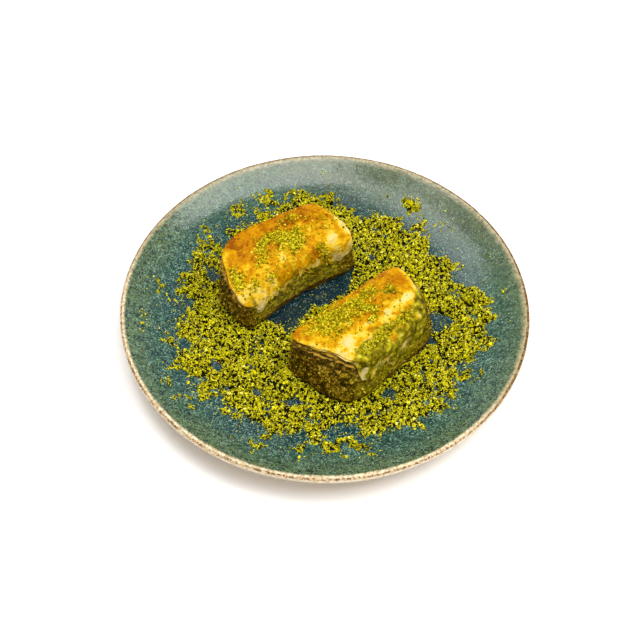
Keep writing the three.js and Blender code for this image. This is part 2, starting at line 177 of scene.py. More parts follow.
# Heaps of crumbs on the slices: the middle, the spread along and across, and how many. They are
# kept down to about the height HEAPS_TOP.
HEAPS_TOP = 41.6
BACK_SLICE["crumbs"] = [
    [-0.35, 0.12, 0.07, 0.14, 108],
    [-0.15, 0.28, 0.12, 0.12, 228],
    [0.05, 0.12, 0.08, 0.14, 180],
    [0.12, -0.1, 0.1, 0.12, 204],
    [0.22, -0.22, 0.08, 0.14, 204],
    [0.12, -0.42, 0.06, 0.08, 96],
    [0.32, 0.0, 0.06, 0.1, 72],
    [-0.93, -0.15, 0.04, 0.16, 228],
    [-0.87, -0.3, 0.05, 0.12, 108],
    [-0.45, -0.15, 0.06, 0.1, 60],
    [-0.7, -0.62, 0.06, 0.1, 72],
    [-0.42, -0.78, 0.06, 0.1, 84],
    [0.48, -0.85, 0.05, 0.1, 84],
    [0.35, 0.65, 0.12, 0.12, 84],
    [0.7, 0.1, 0.2, 0.3, 108],
    [-0.2, -0.5, 0.3, 0.25, 108],
]
FRONT_SLICE["crumbs"] = [
    [-0.42, 0.75, 0.12, 0.14, 312],
    [-0.65, 0.6, 0.1, 0.14, 204],
    [-0.3, 0.4, 0.14, 0.16, 360],
    [-0.62, 0.25, 0.1, 0.14, 204],
    [-0.05, 0.6, 0.14, 0.14, 228],
    [0.22, 0.6, 0.12, 0.12, 180],
    [0.04, 0.2, 0.05, 0.22, 108],
    [-0.14, -0.2, 0.06, 0.06, 48],
    [0.57, 0.3, 0.04, 0.06, 36],
    [-0.55, -0.7, 0.12, 0.06, 96],
    [-0.1, -0.68, 0.2, 0.07, 180],
    [0.4, -0.7, 0.14, 0.08, 108],
    [0.1, 0.1, 0.5, 0.4, 132],
]

# The ground nuts, with single crumbs further out, and places where they lie thinner or thicker:
# centre, radius and change.
NUT_DEPTH = 1.5
NUT_EDGE_RADIUS = 80
NUT_EDGE_WIDTH = 12
NUT_SHEET_RADIUS = 86
CRUMB_REACH = 91
NUT_SPOTS = [
    [-20, 0, 7, -1.1],
    [-12, 8, 7, -1.1],
    [-4, 13, 7, -1.1],
    [4, 20, 7, -1.1],
    [12, 28, 5, -1.1],
    [57, -4, 6, -1.1],
    [50, -14, 6, -1.1],
    [44, -24, 4, -1.1],
    [28, -43, 3, -1.1],
    [-11, -53, 4, -1.1],
    [8, -70, 5, -1.1],
    [-45, -63, 4, -1.1],
    [-28, -72, 4, -1.1],
    [-54, -32, 3, -1.1],
    [-60, 25, 4, -1.1],
    [74, 42, 10, -1.1],
    [20, 74, 6, -1.1],
    [60, 48, 8, -0.7],
    [-75, 37, 11, -0.9],
    [-11, -66, 6, -0.4],
    [14, -66, 6, -0.4],
    [-30, -55, 6, -0.3],
    [75, 9, 8, 0.6],
    [74, -7, 8, 0.6],
    [71, -19, 7, 0.4],
    [46, 66, 7, 0.8],
    [-46, 67, 6, 0.4],
]

# The view
CAMERA_ELEVATION = 53.2
CAMERA_DISTANCE = 550
CAMERA_AIM = [-2.34, -4.56, 10]
CAMERA_ROLL = 0.95
FOCAL_PIXELS = 1112
FRAME_PIXELS = 640
SENSOR = 36


# Noise

def ripple(x, y, wave, seed):
    """A smooth uneven field between about -1 and 1, made of sine waves that run in several ways."""
    waves = 5
    total = 0
    for k in range(waves):
        angle = 2.4 * k + 0.7 * seed
        length = wave * (0.75 + 0.17 * k)
        along = x * math.cos(angle) + y * math.sin(angle)
        total = total + np.sin(2 * np.pi * along / length + 1.9 * k * seed + seed)
    return total / math.sqrt(2 * waves)


def hashed(i, j, k, seed):
    """A repeatable number from 0 to 1 for each whole-numbered place."""
    n = (i * 374761393 + j * 668265263 + k * 1274126177 + seed * 974634777) & 0xFFFFFFFF
    n = ((n ^ (n >> 13)) * 1103515245) & 0xFFFFFFFF
    n = ((n ^ (n >> 16)) * 668265263) & 0xFFFFFFFF
    return (n ^ (n >> 15)) / 0xFFFFFFFF


def noise(points, size, seed):
    """Smooth noise from -1 to 1 with lumps of a size, at points of three coordinates."""
    p = np.asarray(points) / size
    low = np.floor(p).astype(np.int64)
    t = p - low
    t = t * t * (3 - 2 * t)
    total = 0
    for corner in range(8):
        step = np.array([corner & 1, corner >> 1 & 1, corner >> 2 & 1])
        weight = np.prod(np.where(step == 1, t, 1 - t), axis=-1)
        at = low + step
        total = total + weight * hashed(at[..., 0], at[..., 1], at[..., 2], seed)
    return 2 * total - 1


def fractal(points, size, seed, octaves=3):
    """Noise from -1 to 1 with finer and finer lumps added."""
    total = 0
    for k in range(octaves):
        total = total + noise(points, size / 2**k, seed + 17 * k) / 2**k
    return total / (2 - 2 / 2**octaves)


def cells(points, size, seed):
    """Distance to the nearest of scattered seeds, about 0 to 1, and that seed's own number."""
    p = np.asarray(points) / size
    low = np.floor(p).astype(np.int64)
    nearest = np.full(p.shape[:-1], 9.0)
    number = np.zeros(p.shape[:-1])
    for corner in range(27):
        at = low + np.array([corner % 3, corner // 3 % 3, corner // 9]) - 1
        i, j, k = at[..., 0], at[..., 1], at[..., 2]
        seeds = np.stack([hashed(i, j, k, seed + m) for m in range(3)], axis=-1)
        distance = np.linalg.norm(at + seeds - p, axis=-1)
        closer = distance < nearest
        nearest = np.where(closer, distance, nearest)
        number = np.where(closer, hashed(i, j, k, seed + 3), number)
    return nearest, number


def mix(a, b, t):
    """a where t is 0, b where it is 1."""
    return a + (b - a) * t


def clamp01(t):
    return np.clip(t, 0, 1)


def smooth(low, high, t):
    """0 at low and before it, 1 at high and past it, smooth between. low may be the greater."""
    t = clamp01((t - low) / (high - low))
    return t * t * (3 - 2 * t)


# Meshes

def place_piece(name, verts, faces, material, nodes=(), values=None, flat=False):
    """A mesh piece from points in millimetres and arrays of faces with the same count of
    corners, with named numbers for each point."""
    mesh = bpy.data.meshes.new(name)
    corners = np.concatenate([block.ravel() for block in faces]).astype(np.int32)
    sizes = np.concatenate([np.full(len(block), block.shape[1]) for block in faces])
    starts = np.concatenate([[0], np.cumsum(sizes)[:-1]]).astype(np.int32)
    mesh.vertices.add(len(verts))
    mesh.vertices.foreach_set("co", (np.asarray(verts) * MM).astype(np.float32).ravel())
    mesh.loops.add(len(corners))
    mesh.loops.foreach_set("vertex_index", corners)
    mesh.polygons.add(len(sizes))
    mesh.polygons.foreach_set("loop_start", starts)
    mesh.update(calc_edges=True)
    mesh.polygons.foreach_set("use_smooth", np.full(len(sizes), not flat))
    for key, value in (values or {}).items():
        layer = mesh.attributes.new(key, "FLOAT", "POINT")
        layer.data.foreach_set("value", np.asarray(value, dtype=np.float32))
    piece = bpy.data.objects.new(name, mesh)
    bpy.context.collection.objects.link(piece)
    mesh.materials.append(material)
    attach(piece, "root")
    if nodes:
        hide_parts(*nodes)
    return piece


def ring_faces(ring_count, count):
    """Faces of a closed surface: a pole, rings of points anticlockwise from above, a pole."""
    i = np.arange(count)
    j = (i + 1) % count
    last = 1 + ring_count * count
    top = last - count
    low = (1 + np.arange(ring_count - 1) * count)[:, None]
    quads = np.stack([low + i, low + j, low + count + j, low + count + i], axis=-1).reshape(-1, 4)
    first_fan = np.stack([np.zeros_like(i), 1 + j, 1 + i], axis=1)
    last_fan = np.stack([np.full(count, last), top + i, top + j], axis=1)
    return [quads, np.concatenate([first_fan, last_fan])]


def ring_points(first, rings, last):
    """Points of a body made of rings, with one point before them and one after."""
    return np.concatenate([np.reshape(part, (-1, 3)) for part in (first, rings, last)])


def ring_values(first, rings, last):
    """One value for each of the same points."""
    return np.concatenate([[first], np.ravel(rings), [last]])


class Parts:
    """Collects several bodies into the arrays of one mesh."""

    def __init__(self):
        self.verts = []
        self.faces = []
        self.values = {}
        self.count = 0

    def add(self, verts, faces, **values):
        self.verts.append(verts)
        self.faces += [block + self.count for block in faces]
        for key, value in values.items():
            self.values.setdefault(key, []).append(np.broadcast_to(value, len(verts)))
        self.count += len(verts)

    def place(self, name, material, slot, nodes=()):
        values = {key: np.concatenate(value) for key, value in self.values.items()}
        verts = np.concatenate(self.verts)
        return place_piece(name, verts, self.faces, material, nodes, values)


# The shapes of the slices

def rounded_square(share):
    """A point on a rounded square of half width 1, a share of the way round from the middle of
    its right side."""
    step = (share * 4 + 0.5) % 4
    side = np.floor(step).astype(int)
    along = 2 * (step - side) - 1
    one = np.ones_like(along)
    x = np.choose(side, [one, -along, -one, along])
    y = np.choose(side, [along, one, -along, -one])
    size = (np.abs(x) ** CORNER_POWER + np.abs(y) ** CORNER_POWER) ** (1 / CORNER_POWER)
    return x / size, y / size


def share_and_reach(a, b):
    """The share of the way round and the reach from the middle of a place in a slice."""
    reach = (np.abs(a) ** CORNER_POWER + np.abs(b) ** CORNER_POWER) ** (1 / CORNER_POWER)
    wide = np.abs(a) >= np.abs(b)
    side = np.where(wide, np.where(a > 0, 0, 2), np.where(b > 0, 1, 3))
    longer = np.maximum(np.maximum(np.abs(a), np.abs(b)), 1e-6)
    along = np.choose(side, [b, -a, -b, a]) / longer
    return ((side + (along + 1) / 2 - 0.5) / 4) % 1, reach


def by_side(values, x, y):
    """A value given for the left end, right end, front and back, blended by direction."""
    end = np.where(x < 0, values[0], values[1])
    long = np.where(y < 0, values[2], values[3])
    end_pull = np.abs(x) ** CORNER_POWER
    long_pull = np.abs(y) ** CORNER_POWER
    return (end * end_pull + long * long_pull) / np.maximum(end_pull + long_pull, 1e-12)


def by_corner(values, a, b):
    """A value given at the four corners, spread evenly between them."""
    back = mix(values[0], values[3], (a + 1) / 2)
    front = mix(values[1], values[2], (a + 1) / 2)
    return mix(front, back, (b + 1) / 2)


def on_slice(s, a, b, height):
    """A place on a slice: its outline passes from the ground corners to the top corners."""
    lean = clamp01(height / s["height"]) ** LEAN_POWER
    pairs = list(zip(s["ground"], s["top"]))
    x = by_corner([mix(low[0], high[0], lean) for low, high in pairs], a, b)
    y = by_corner([mix(low[1], high[1], lean) for low, high in pairs], a, b)
    forward = np.subtract(s["ground"][2], s["ground"][1]).astype(float)
    forward /= np.linalg.norm(forward)
    bow = [mix(low, high, lean) for low, high in zip(s["bow_below"], s["bow_above"])]
    across = (1 - b * b) * (bow[1] * (1 + a) - bow[0] * (1 - a)) / 2
    deep = (1 - a * a) * (bow[2] * (1 - b) - bow[3] * (1 + b)) / 2
    x = x + forward[0] * across + forward[1] * deep
    y = y + forward[1] * across - forward[0] * deep
    return np.stack([x, y, FLOOR_Z + GAP + height + 0 * x], axis=-1)


def crust_top(s, a, b):
    """Height of the crust over the plate's floor: a dome that sinks towards some corners, turns
    down at the sides and is blistered."""
    crown = 1.2
    roll_bend = 0.98
    drop = by_corner(s["sag"], a, b) + crown * (0.6 * a * a + 0.4 * b * b)
    for depth, start, share in zip(s["turn"], ROLL_START, (-a, a, -b, b)):
        over = clamp01((share - start) / (1 - start))
        drop = drop + depth * (1 - np.sqrt(1 - roll_bend * over * over))
    blister = 0.9 * ripple(HALF_LENGTH * a, HALF_WIDTH * b, 17, s["seed"])
    return s["height"] - drop + blister * (1 - 0.5 * np.maximum(np.abs(a), np.abs(b)))


def around(s, x, y, wave, k):
    """An uneven line round a slice, by direction."""
    return ripple(HALF_LENGTH * x, HALF_WIDTH * y, wave, s["seed"] + k)


def hem_height(s, x, y):
    """Height of the crust's ragged lower edge, with flaps that hang lower along the front."""
    long_side = np.abs(y) ** CORNER_POWER
    rag = 0.9 * around(s, x, y, 9, 2) * mix(0.4, 1, long_side)
    rag = rag + 0.8 * around(s, x, y, 3.1, 5) * mix(0.2, 1, long_side)
    hem = s["height"] * by_side(s["hem"], x, y) + rag
    for middle, width, drop in s["flaps"]:
        hem = hem - drop * np.exp(-(((x - middle) / width) ** 2)) * (y < 0) * long_side
    return np.minimum(hem, crust_top(s, x, y) - 1)


def on_axis(s, height):
    """The middle of a slice at a height."""
    zero = np.zeros(1)
    return on_slice(s, zero, zero, height + zero)


def moved_out(s, x, y, outwards, height):
    """A place on a slice's outline, moved out by so many millimetres."""
    size = 1 + outwards / HALF_WIDTH
    return on_slice(s, x * size, y * size, height)


def filling_top(s, x, y):
    """Height of the filling's upper edge, behind the hem and under the crust."""
    return np.minimum(hem_height(s, x, y) + 0.6, crust_top(s, x, y) - 1.1)


def bare_skin(s, share, v):
    """A place on the crust before its fine relief: v runs from 0 in the middle to 1 at the edge
    and 2 at the hem."""
    x, y = rounded_square(share)
    reach = np.minimum(v, 1)
    fall = clamp01(v - 1)
    height = mix(crust_top(s, x * reach, y * reach), hem_height(s, x, y), fall)
    flare = 0.5 * around(s, x, y, 11, 0) * smooth(0, 0.4, fall)
    size = reach + flare / HALF_WIDTH
    return on_slice(s, x * size, y * size, height)


def skin_frame(s, share, v):
    """A place on the bare skin, its outward normal, and the steps along it per unit of share
    and of v."""
    step = 0.004
    safe = np.maximum(v, 0.06)
    along = (bare_skin(s, share + step, safe) - bare_skin(s, share - step, safe)) / (2 * step)
    ahead = np.minimum(safe + 3 * step, 2)
    behind = np.maximum(safe - 3 * step, 0.03)
    down = bare_skin(s, share, ahead) - bare_skin(s, share, behind)
    down = down / (ahead - behind)[..., None]
    normal = np.cross(down, along)
    normal = normal / np.maximum(np.linalg.norm(normal, axis=-1, keepdims=True), 1e-9)
    return bare_skin(s, share, v), normal, along, down


def terrace(points, size, seed, level, height):
    """The step of one torn leaf: a plateau with a sharp ragged edge."""
    return height * smooth(level - 0.03, level + 0.03, fractal(points, size, seed, 4))


def crust_relief(s, p, share, v):
    """Fine relief of the crust in millimetres, outwards."""
    seed = s["seed"] * 10
    fall = clamp01(v - 1)
    x, y = rounded_square(share)
    front = smooth(0.2, 0.9, -y) * smooth(0.55, 1.0, v)
    relief = 0.28 * noise(p, 5.5, seed) + 0.16 * noise(p, 2.6, seed + 1)
    creases = 1 - np.abs(fractal(p * [1, 1, 0.5], 7, seed + 2, 2)) * 3.2
    relief = relief + 0.35 * np.maximum(creases, 0) ** 2 * mix(0.5, 1, front)
    for k, level in enumerate((-0.22, 0.02, 0.24)):
        relief = relief + terrace(p, 9 - k, seed + 5 + k, level, 0.16 + 0.1 * front)
    pleats = 0.5 * around(s, x, y, 4.6, 7) + 0.5 * np.abs(around(s, x, y, 9.5, 9)) - 0.3
    relief = relief + 0.28 * pleats * front * smooth(0, 0.4, fall)
    relief = relief + 0.4 * fractal(p, 4.2, seed + 13, 2) * front
    relief = relief + 0.07 * noise(p, 0.9, seed + 3) + 0.12 * fractal(p, 2.4, seed + 11, 3)
    ends = smooth(0.9, 1, np.abs(x)) * smooth(0.95, 0.7, np.abs(y))
    groove = smooth(1.2, 1.35, v) * smooth(1.7, 1.55, v + 0.2 * around(s, x, y, 5, 15))
    calm = mix(1, 0.45, smooth(0.7, 1, np.abs(x)) * smooth(0.85, 1.0, v))
    return (relief - 0.35) * calm - 0.6 * ends * groove


def skin(s, share, v):
    """Points and normals of the crust with its relief."""
    p, normal, _, _ = skin_frame(s, share, v)
    return p + normal * crust_relief(s, p, share, v)[..., None], normal


def spots(s, key, a, b):
    """The sum of a slice's spots of one kind at a place."""
    total = 0
    for middle_a, middle_b, wide, deep, strength in s[key]:
        away = ((a - middle_a) / wide) ** 2 + ((b - middle_b) / deep) ** 2
        total = total + strength * np.exp(-away)
    return total


# The plate

def plate_top(radius):
    """Height of the plate's inner surface at a radius."""
    lip_radius = PLATE_RADIUS - LIP_THICKNESS
    share = np.maximum((radius - FLOOR_RADIUS) / (lip_radius - FLOOR_RADIUS), 0)
    wall = mix(FLOOR_Z, PLATE_HEIGHT - LIP_THICKNESS / 2, share**WALL_RISE_POWER)
    return wall + SWELL * smooth(SWELL_START, SWELL_END, radius)


def arc(middle, size, start, end, steps):
    """Points on a circle in the plane of radius and height, from one angle to another."""
    angles = np.radians(np.linspace(start, end, steps))
    return [[middle[0] + size * math.cos(t), middle[1] + size * math.sin(t)] for t in angles]


def plate_profile():
    """Radius and height from the middle of the underside round the lip to the middle."""
    half = LIP_THICKNESS / 2
    fillet = 1.0
    profile = [[r, FOOT_HEIGHT] for r in np.linspace(6, FOOT_INNER_RADIUS - FOOT_TAPER - 1, 4)]
    profile += arc([FOOT_INNER_RADIUS + fillet, fillet], fillet, 180, 270, 4)
    profile += arc([FOOT_OUTER_RADIUS - fillet, fillet], fillet, 270, 360, 4)
    profile.append([FOOT_OUTER_RADIUS + FOOT_TAPER * 0.7, FOOT_HEIGHT - 0.3])
    for radius in np.linspace(FOOT_OUTER_RADIUS + 3, PLATE_RADIUS - 0.6, 16):
        thickness = WALL_THICKNESS - THINNING * smooth(SWELL_START, THINNING_END, radius)
        profile.append([radius, plate_top(radius - WALL_SHIFT) - thickness])
    profile += arc([PLATE_RADIUS - half, PLATE_HEIGHT - half], half, 0, 120, 16)
    for radius in np.linspace(PLATE_RADIUS - half - 1.2, FLOOR_RADIUS, 40):
        profile.append([radius, float(plate_top(radius))])
    for radius in np.linspace(FLOOR_RADIUS - 4, 2, 14):
        profile.append([radius, FLOOR_Z])
    return np.array(profile)


def add_plate(material):
    """The thrown plate, with its slightly uneven wall, glaze and lip."""
    count = 320
    profile = plate_profile()
    angle = np.linspace(0, 2 * np.pi, count, endpoint=False)
    radius, height = profile[:, :1], profile[:, 1:]
    rings = np.stack(
        [radius * np.cos(angle), radius * np.sin(angle), height + 0 * angle], axis=-1
    )
    outline = np.gradient(profile, axis=0)
    outline /= np.linalg.norm(outline, axis=1, keepdims=True)
    out, up = outline[:, 1:], -outline[:, :1]
    normal = np.stack([out * np.cos(angle), out * np.sin(angle), up + 0 * angle], axis=-1)
    waves = 0.1 * fractal(rings, 16, 71) + 0.05 * noise(rings, 4.5, 72)
    waves = waves + 0.12 * smooth(90, 99, radius) * noise(rings, 22, 73)
    waves = waves - 0.12 * smooth(96, 99, radius)
    rings = rings + normal * (waves * smooth(0.2, 1.2, height))[..., None]
    steps = np.linalg.norm(np.diff(profile, axis=0, prepend=profile[:1]), axis=1)
    travelled = np.cumsum(steps)
    from_crest = (travelled - travelled[np.argmax(profile[:, 1])])[:, None] + 0 * angle
    values = {"from_crest": ring_values(from_crest[0, 0], from_crest, from_crest[-1, 0])}
    verts = ring_points([0, 0, FOOT_HEIGHT], rings, [0, 0, rings[-1, :, 2].mean()])
    faces = ring_faces(len(profile), count)
    return place_piece("glazed_plate", verts, faces, material, ["plate"], values)


# Crumbs

def icosahedron():
    """Points and faces of a solid with twenty triangles."""
    g = (1 + math.sqrt(5)) / 2
    verts = []
    for p, q in ((-1, g), (1, g), (-1, -g), (1, -g)):
        verts += [[p, q, 0], [0, p, q], [q, 0, p]]
    verts = np.array(verts) / math.sqrt(1 + g * g)
    faces = []
    near = 1.1
    for i in range(12):
        for j in range(i + 1, 12):
            for k in range(j + 1, 12):
                sides = [verts[i] - verts[j], verts[j] - verts[k], verts[k] - verts[i]]
                if max(np.linalg.norm(side) for side in sides) > near:
                    continue
                outward = np.dot(np.cross(verts[j] - verts[i], verts[k] - verts[i]), verts[i])
                faces.append([i, j, k] if outward > 0 else [i, k, j])
    return verts, np.array(faces)


def finer(verts, faces):
    """Each triangle split into four, with the new points pushed out to the sphere."""
    verts = verts.tolist()
    middles = {}

    def middle(i, j):
        key = (min(i, j), max(i, j))
        if key not in middles:
            point = np.add(verts[i], verts[j])
            verts.append((point / np.linalg.norm(point)).tolist())
            middles[key] = len(verts) - 1
        return middles[key]

    split = []
    for i, j, k in faces:
        ij, jk, ki = middle(i, j), middle(j, k), middle(k, i)
        split += [[i, ij, ki], [ij, j, jk], [ki, jk, k], [ij, jk, ki]]
    return np.array(verts), np.array(split)


def octahedron():
    """Points and faces of a solid with eight triangles."""
    verts = np.array([[1, 0, 0], [0, 1, 0], [-1, 0, 0], [0, -1, 0], [0, 0, 1], [0, 0, -1]])
    faces = []
    for i in range(4):
        faces += [[i, (i + 1) % 4, 4], [(i + 1) % 4, i, 5]]
    return verts.astype(float), np.array(faces)


def chip_shapes(random, detail):
    """Chopped lumps of nut: rough balls with a few flat cuts. The least detail is an octahedron,
    and each step above it is a finer ball."""
    kinds = 24
    cuts = 4
    verts, faces = octahedron() if detail == 0 else icosahedron()
    for _ in range(detail - 1):
        verts, faces = finer(verts, faces)
    shapes = []
    for _ in range(kinds):
        shape = verts * random.uniform(0.8, 1.2, (len(verts), 1))
        for _ in range(cuts):
            cut = random.normal(size=3)
            cut /= np.linalg.norm(cut)
            beyond = np.maximum(shape @ cut - random.uniform(0.45, 0.75), 0)
            shape = shape - beyond[:, None] * cut
        shapes.append(shape * random.uniform([0.85, 0.65, 0.5], [1.2, 1.0, 0.9]))
    return np.array(shapes), faces


def turned(random, count):
    """Random turns as matrices."""
    q = random.normal(size=(count, 4))
    w, x, y, z = (q / np.linalg.norm(q, axis=1, keepdims=True)).T
    rows = [
        [1 - 2 * (y * y + z * z), 2 * (x * y - z * w), 2 * (x * z + y * w)],
        [2 * (x * y + z * w), 1 - 2 * (x * x + z * z), 2 * (y * z - x * w)],
        [2 * (x * z - y * w), 2 * (y * z + x * w), 1 - 2 * (x * x + y * y)],
    ]
    return np.moveaxis(np.array(rows), 2, 0)


def place_chips(name, material, random, places, sizes, detail=0):
    """A piece of many chips of nut, each with its own tone."""
    shapes, faces = chip_shapes(random, detail)
    count = len(places)
    chosen = shapes[random.integers(len(shapes), size=count)] * (sizes / 2)[:, None, None]
    verts = np.einsum("nij,nvj->nvi", turned(random, count), chosen) + places[:, None, :]
    per_chip = shapes.shape[1]
    all_faces = faces[None] + (np.arange(count) * per_chip)[:, None, None]
    blocks = [all_faces.reshape(-1, 3)]
    values = {"tone": np.repeat(random.random(count), per_chip)}
    return place_piece(name, verts.reshape(-1, 3), blocks, material, (), values, flat=True)


def nut_cover(x, y):
    """How thickly the ground nuts lie: about 1 where they cover the plate, 0 or less where it
    is bare."""
    p = np.stack([x, y, 0 * x], axis=-1)
    edge = NUT_EDGE_RADIUS + 5 * ripple(x, y, 44, 5)
    cover = clamp01((edge - np.hypot(x, y)) / NUT_EDGE_WIDTH) + 0.28 * ripple(x, y, 15, 2)
    moved_x, moved_y = x + 5 * noise(p, 9, 81), y + 5 * noise(p, 9, 82)
    for middle_x, middle_y, spot_radius, change in NUT_SPOTS:
        away = np.hypot(moved_x - middle_x, moved_y - middle_y) / spot_radius
        cover = cover + change * clamp01(1.5 - away)
    return cover


def outline_distance(s, x, y):
    """Distance in plan from places to a slice's outline on the plate, less than 0 inside."""
    corners = 72
    rx, ry = rounded_square(np.arange(corners) / corners)
    outline = on_slice(s, rx, ry, 0)[:, :2]
    following = np.roll(outline, -1, axis=0)
    p = np.stack([x, y], axis=-1)[:, None, :]
    edge = following - outline
    t = clamp01(((p - outline) * edge).sum(-1) / (edge * edge).sum(-1))
    distance = np.linalg.norm(p - outline - t[..., None] * edge, axis=-1).min(axis=1)
    crosses = (outline[:, 1] > p[..., 1]) != (following[:, 1] > p[..., 1])
    rise = np.where(edge[:, 1] == 0, 1e-9, edge[:, 1])
    at = outline[:, 0] + (p[..., 1] - outline[:, 1]) / rise * edge[:, 0]
    inside = (crosses & (p[..., 0] < at)).sum(axis=1) % 2 == 1
    return np.where(inside, -distance, distance)


def slices_distance(x, y):
    """Distance in plan from places to the nearer slice."""
    return np.minimum(outline_distance(BACK_SLICE, x, y), outline_distance(FRONT_SLICE, x, y))


def nut_lumps(x, y):
    """Distance from the middle of the nearest lump of packed nut, and that lump's number."""
    return cells(np.stack([x, y, 0 * x], axis=-1), 1.6, 95)


def nut_holes(x, y):
    """1 in the small holes between the crumbs, 0 elsewhere."""
    p = np.stack([x, y, 0.3 + 0 * x], axis=-1)
    return smooth(-0.08, -0.2, noise(p, 0.72, 105))


def nut_thickness(x, y, clear):
    """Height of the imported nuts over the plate; below 0 the plate shows. They lie in clumps
    with gaps, and are heaped against the slices, from which the places are some way clear."""
    p = np.stack([x, y, 0 * x], axis=-1)
    clumps = 0.8 * noise(p, 5.2, 91) + 0.8 * noise(p, 2.2, 92) + 0.6 * noise(p, 1.2, 94)
    cover = nut_cover(x, y)
    heap = 1.5 * smooth(4.5, 0.5, clear) * smooth(0.1, 0.5, cover)
    return NUT_DEPTH * (1.3 * np.minimum(0.93, cover) - 0.44) + 0.85 * clumps + heap


def slab(x, y, top, bottom, keep):
    """Points and faces of a closed sheet over the kept squares of a grid, and the index of the
    grid's points in it."""
    keep = keep.copy()
    for _ in range(8):
        one, two, three, four = keep[:-1, :-1], keep[:-1, 1:], keep[1:, :-1], keep[1:, 1:]
        touching = (one & four & ~two & ~three) | (two & three & ~one & ~four)
        if not touching.any():
            break
        for square in (one, two, three, four):
            square |= touching
    rows, columns = x.shape
    j, i = np.nonzero(keep)
    a = j * columns + i
    below = rows * columns
    faces = [np.stack([a, a + 1, a + columns + 1, a + columns], axis=1)]
    faces.append(faces[0][:, ::-1] + below)
    framed = np.pad(keep, 1)
    sides = (
        (framed[:-2, 1:-1], 0, 1),
        (framed[1:-1, 2:], 1, columns + 1),
        (framed[2:, 1:-1], columns + 1, columns),
        (framed[1:-1, :-2], columns, 0),
    )
    for neighbour, first, second in sides:
        open_side = a[~neighbour[j, i]]
        p, q = open_side + first, open_side + second
        faces.append(np.stack([p, p + below, q + below, q], axis=1))
    used, corners = np.unique(np.concatenate(faces), return_inverse=True)
    points = np.concatenate([np.stack([x, y, z], axis=-1).reshape(-1, 3) for z in (top, bottom)])
    return points[used], [corners.reshape(-1, 4)], used % below


def add_nut_bed(material):
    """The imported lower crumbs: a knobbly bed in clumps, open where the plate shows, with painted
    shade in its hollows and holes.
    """
    pitch = 0.58
    line = np.arange(-NUT_SHEET_RADIUS, NUT_SHEET_RADIUS + pitch / 2, pitch)
    x, y = np.meshgrid(line, line)
    radius = np.hypot(x, y)
    plate = plate_top(radius)
    lumps, number = nut_lumps(x, y)
    clear = slices_distance(x.ravel(), y.ravel()).reshape(x.shape)
    rise = nut_thickness(x, y, clear) + (0.2 + 0.3 * number) * (0.55 - lumps)
    holes = nut_holes(x, y)
    rise = rise - 0.6 * holes
    rise = np.where((clear < -2.5) | (radius > NUT_SHEET_RADIUS), -1, np.minimum(rise, 3.4))
    full = rise > 0
    keep = full[:-1, :-1] | full[1:, :-1] | full[:-1, 1:] | full[1:, 1:]
    top = plate + np.maximum(rise, -0.3)
    verts, faces, places = slab(x, y, top, plate - 0.8, keep)
    # tone is each lump's own number, less a little towards the lump's edge as painted shade in the
    # hollows; depth marks the hollows and the holes for painted shade.
    tone = clamp01(0.95 * number + 0.2 - 0.25 * lumps).ravel()[places]
    depth = np.maximum(0.35 * smooth(0.4, 0.75, lumps), holes).ravel()[places]
    values = {"tone": tone, "depth": depth, "packed": np.ones(len(places))}
    nodes = ["ground_pistachio"]
    return place_piece("packed_nuts", verts, faces, material, nodes, values)


def crumb_density(x, y, clear):
    """How likely a crumb is to lie at a place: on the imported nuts, with strays further out."""
    p = np.stack([x, y, 0 * x], axis=-1)
    dense = smooth(-0.1, 0.7, nut_thickness(x, y, clear)) * (1 - 0.95 * nut_holes(x, y))
    strays = 0.1 * smooth(CRUMB_REACH, 74, np.hypot(x, y)) * smooth(0.0, 0.6, noise(p, 5, 103))
    inner = 0.08 * smooth(80, 70, np.hypot(x, y)) * smooth(-0.4, 0.6, noise(p, 3, 104))
    return np.maximum(dense, np.maximum(strays, inner)) * (clear > 0.4)


def scatter(random, count):
    """Places for so many crumbs on the plate, and how far from a slice each is."""
    kept = []
    total = 0
    while total < count:
        draw = 3 * count
        radius = CRUMB_REACH * np.sqrt(random.random(draw))
        angle = 2 * np.pi * random.random(draw)
        x, y = radius * np.cos(angle), radius * np.sin(angle)
        clear = slices_distance(x, y)
        chosen = random.random(draw) < crumb_density(x, y, clear)
        kept.append(np.stack([x, y, clear], axis=1)[chosen])
        total += len(kept[-1])
    return np.concatenate(kept)[:count].T


def side_by_side(random, pitch):
    """Places for crumbs that lie in rows at a pitch, shifted a little each way, and how far
    from a slice each is."""
    columns = np.arange(-CRUMB_REACH, CRUMB_REACH, pitch)
    rows = np.arange(-CRUMB_REACH, CRUMB_REACH, pitch * math.sqrt(0.75))
    x, y = np.meshgrid(columns, rows)
    x[::2] += pitch / 2
    x = (x + pitch * random.uniform(-0.3, 0.3, x.shape)).ravel()
    y = (y + pitch * random.uniform(-0.3, 0.3, y.shape)).ravel()
    clear = slices_distance(x, y)
    chosen = random.random(x.size) < crumb_density(x, y, clear)
    return np.stack([x, y, clear])[:, chosen & (np.hypot(x, y) < CRUMB_REACH)]


def add_crumbs(name, material, lay, amount, low, high, detail, seed, lift=0.3):
    """Loose crumbs from a low to a high size, lying on the plate and on the bed: lay is the rule
    that gives their places, for the amount that it takes."""
    random = np.random.default_rng(seed)
    x, y, clear = lay(random, amount)
    sizes = mix(low, high, random.random(len(x)) ** 1.6)
    bed = np.clip(nut_thickness(x, y, clear), 0, 2.8)
    z = plate_top(np.hypot(x, y)) + bed + sizes * lift
    places = np.stack([x, y, z], axis=1)
    return place_chips(name, material, random, places, sizes, detail)


# The slices' pieces

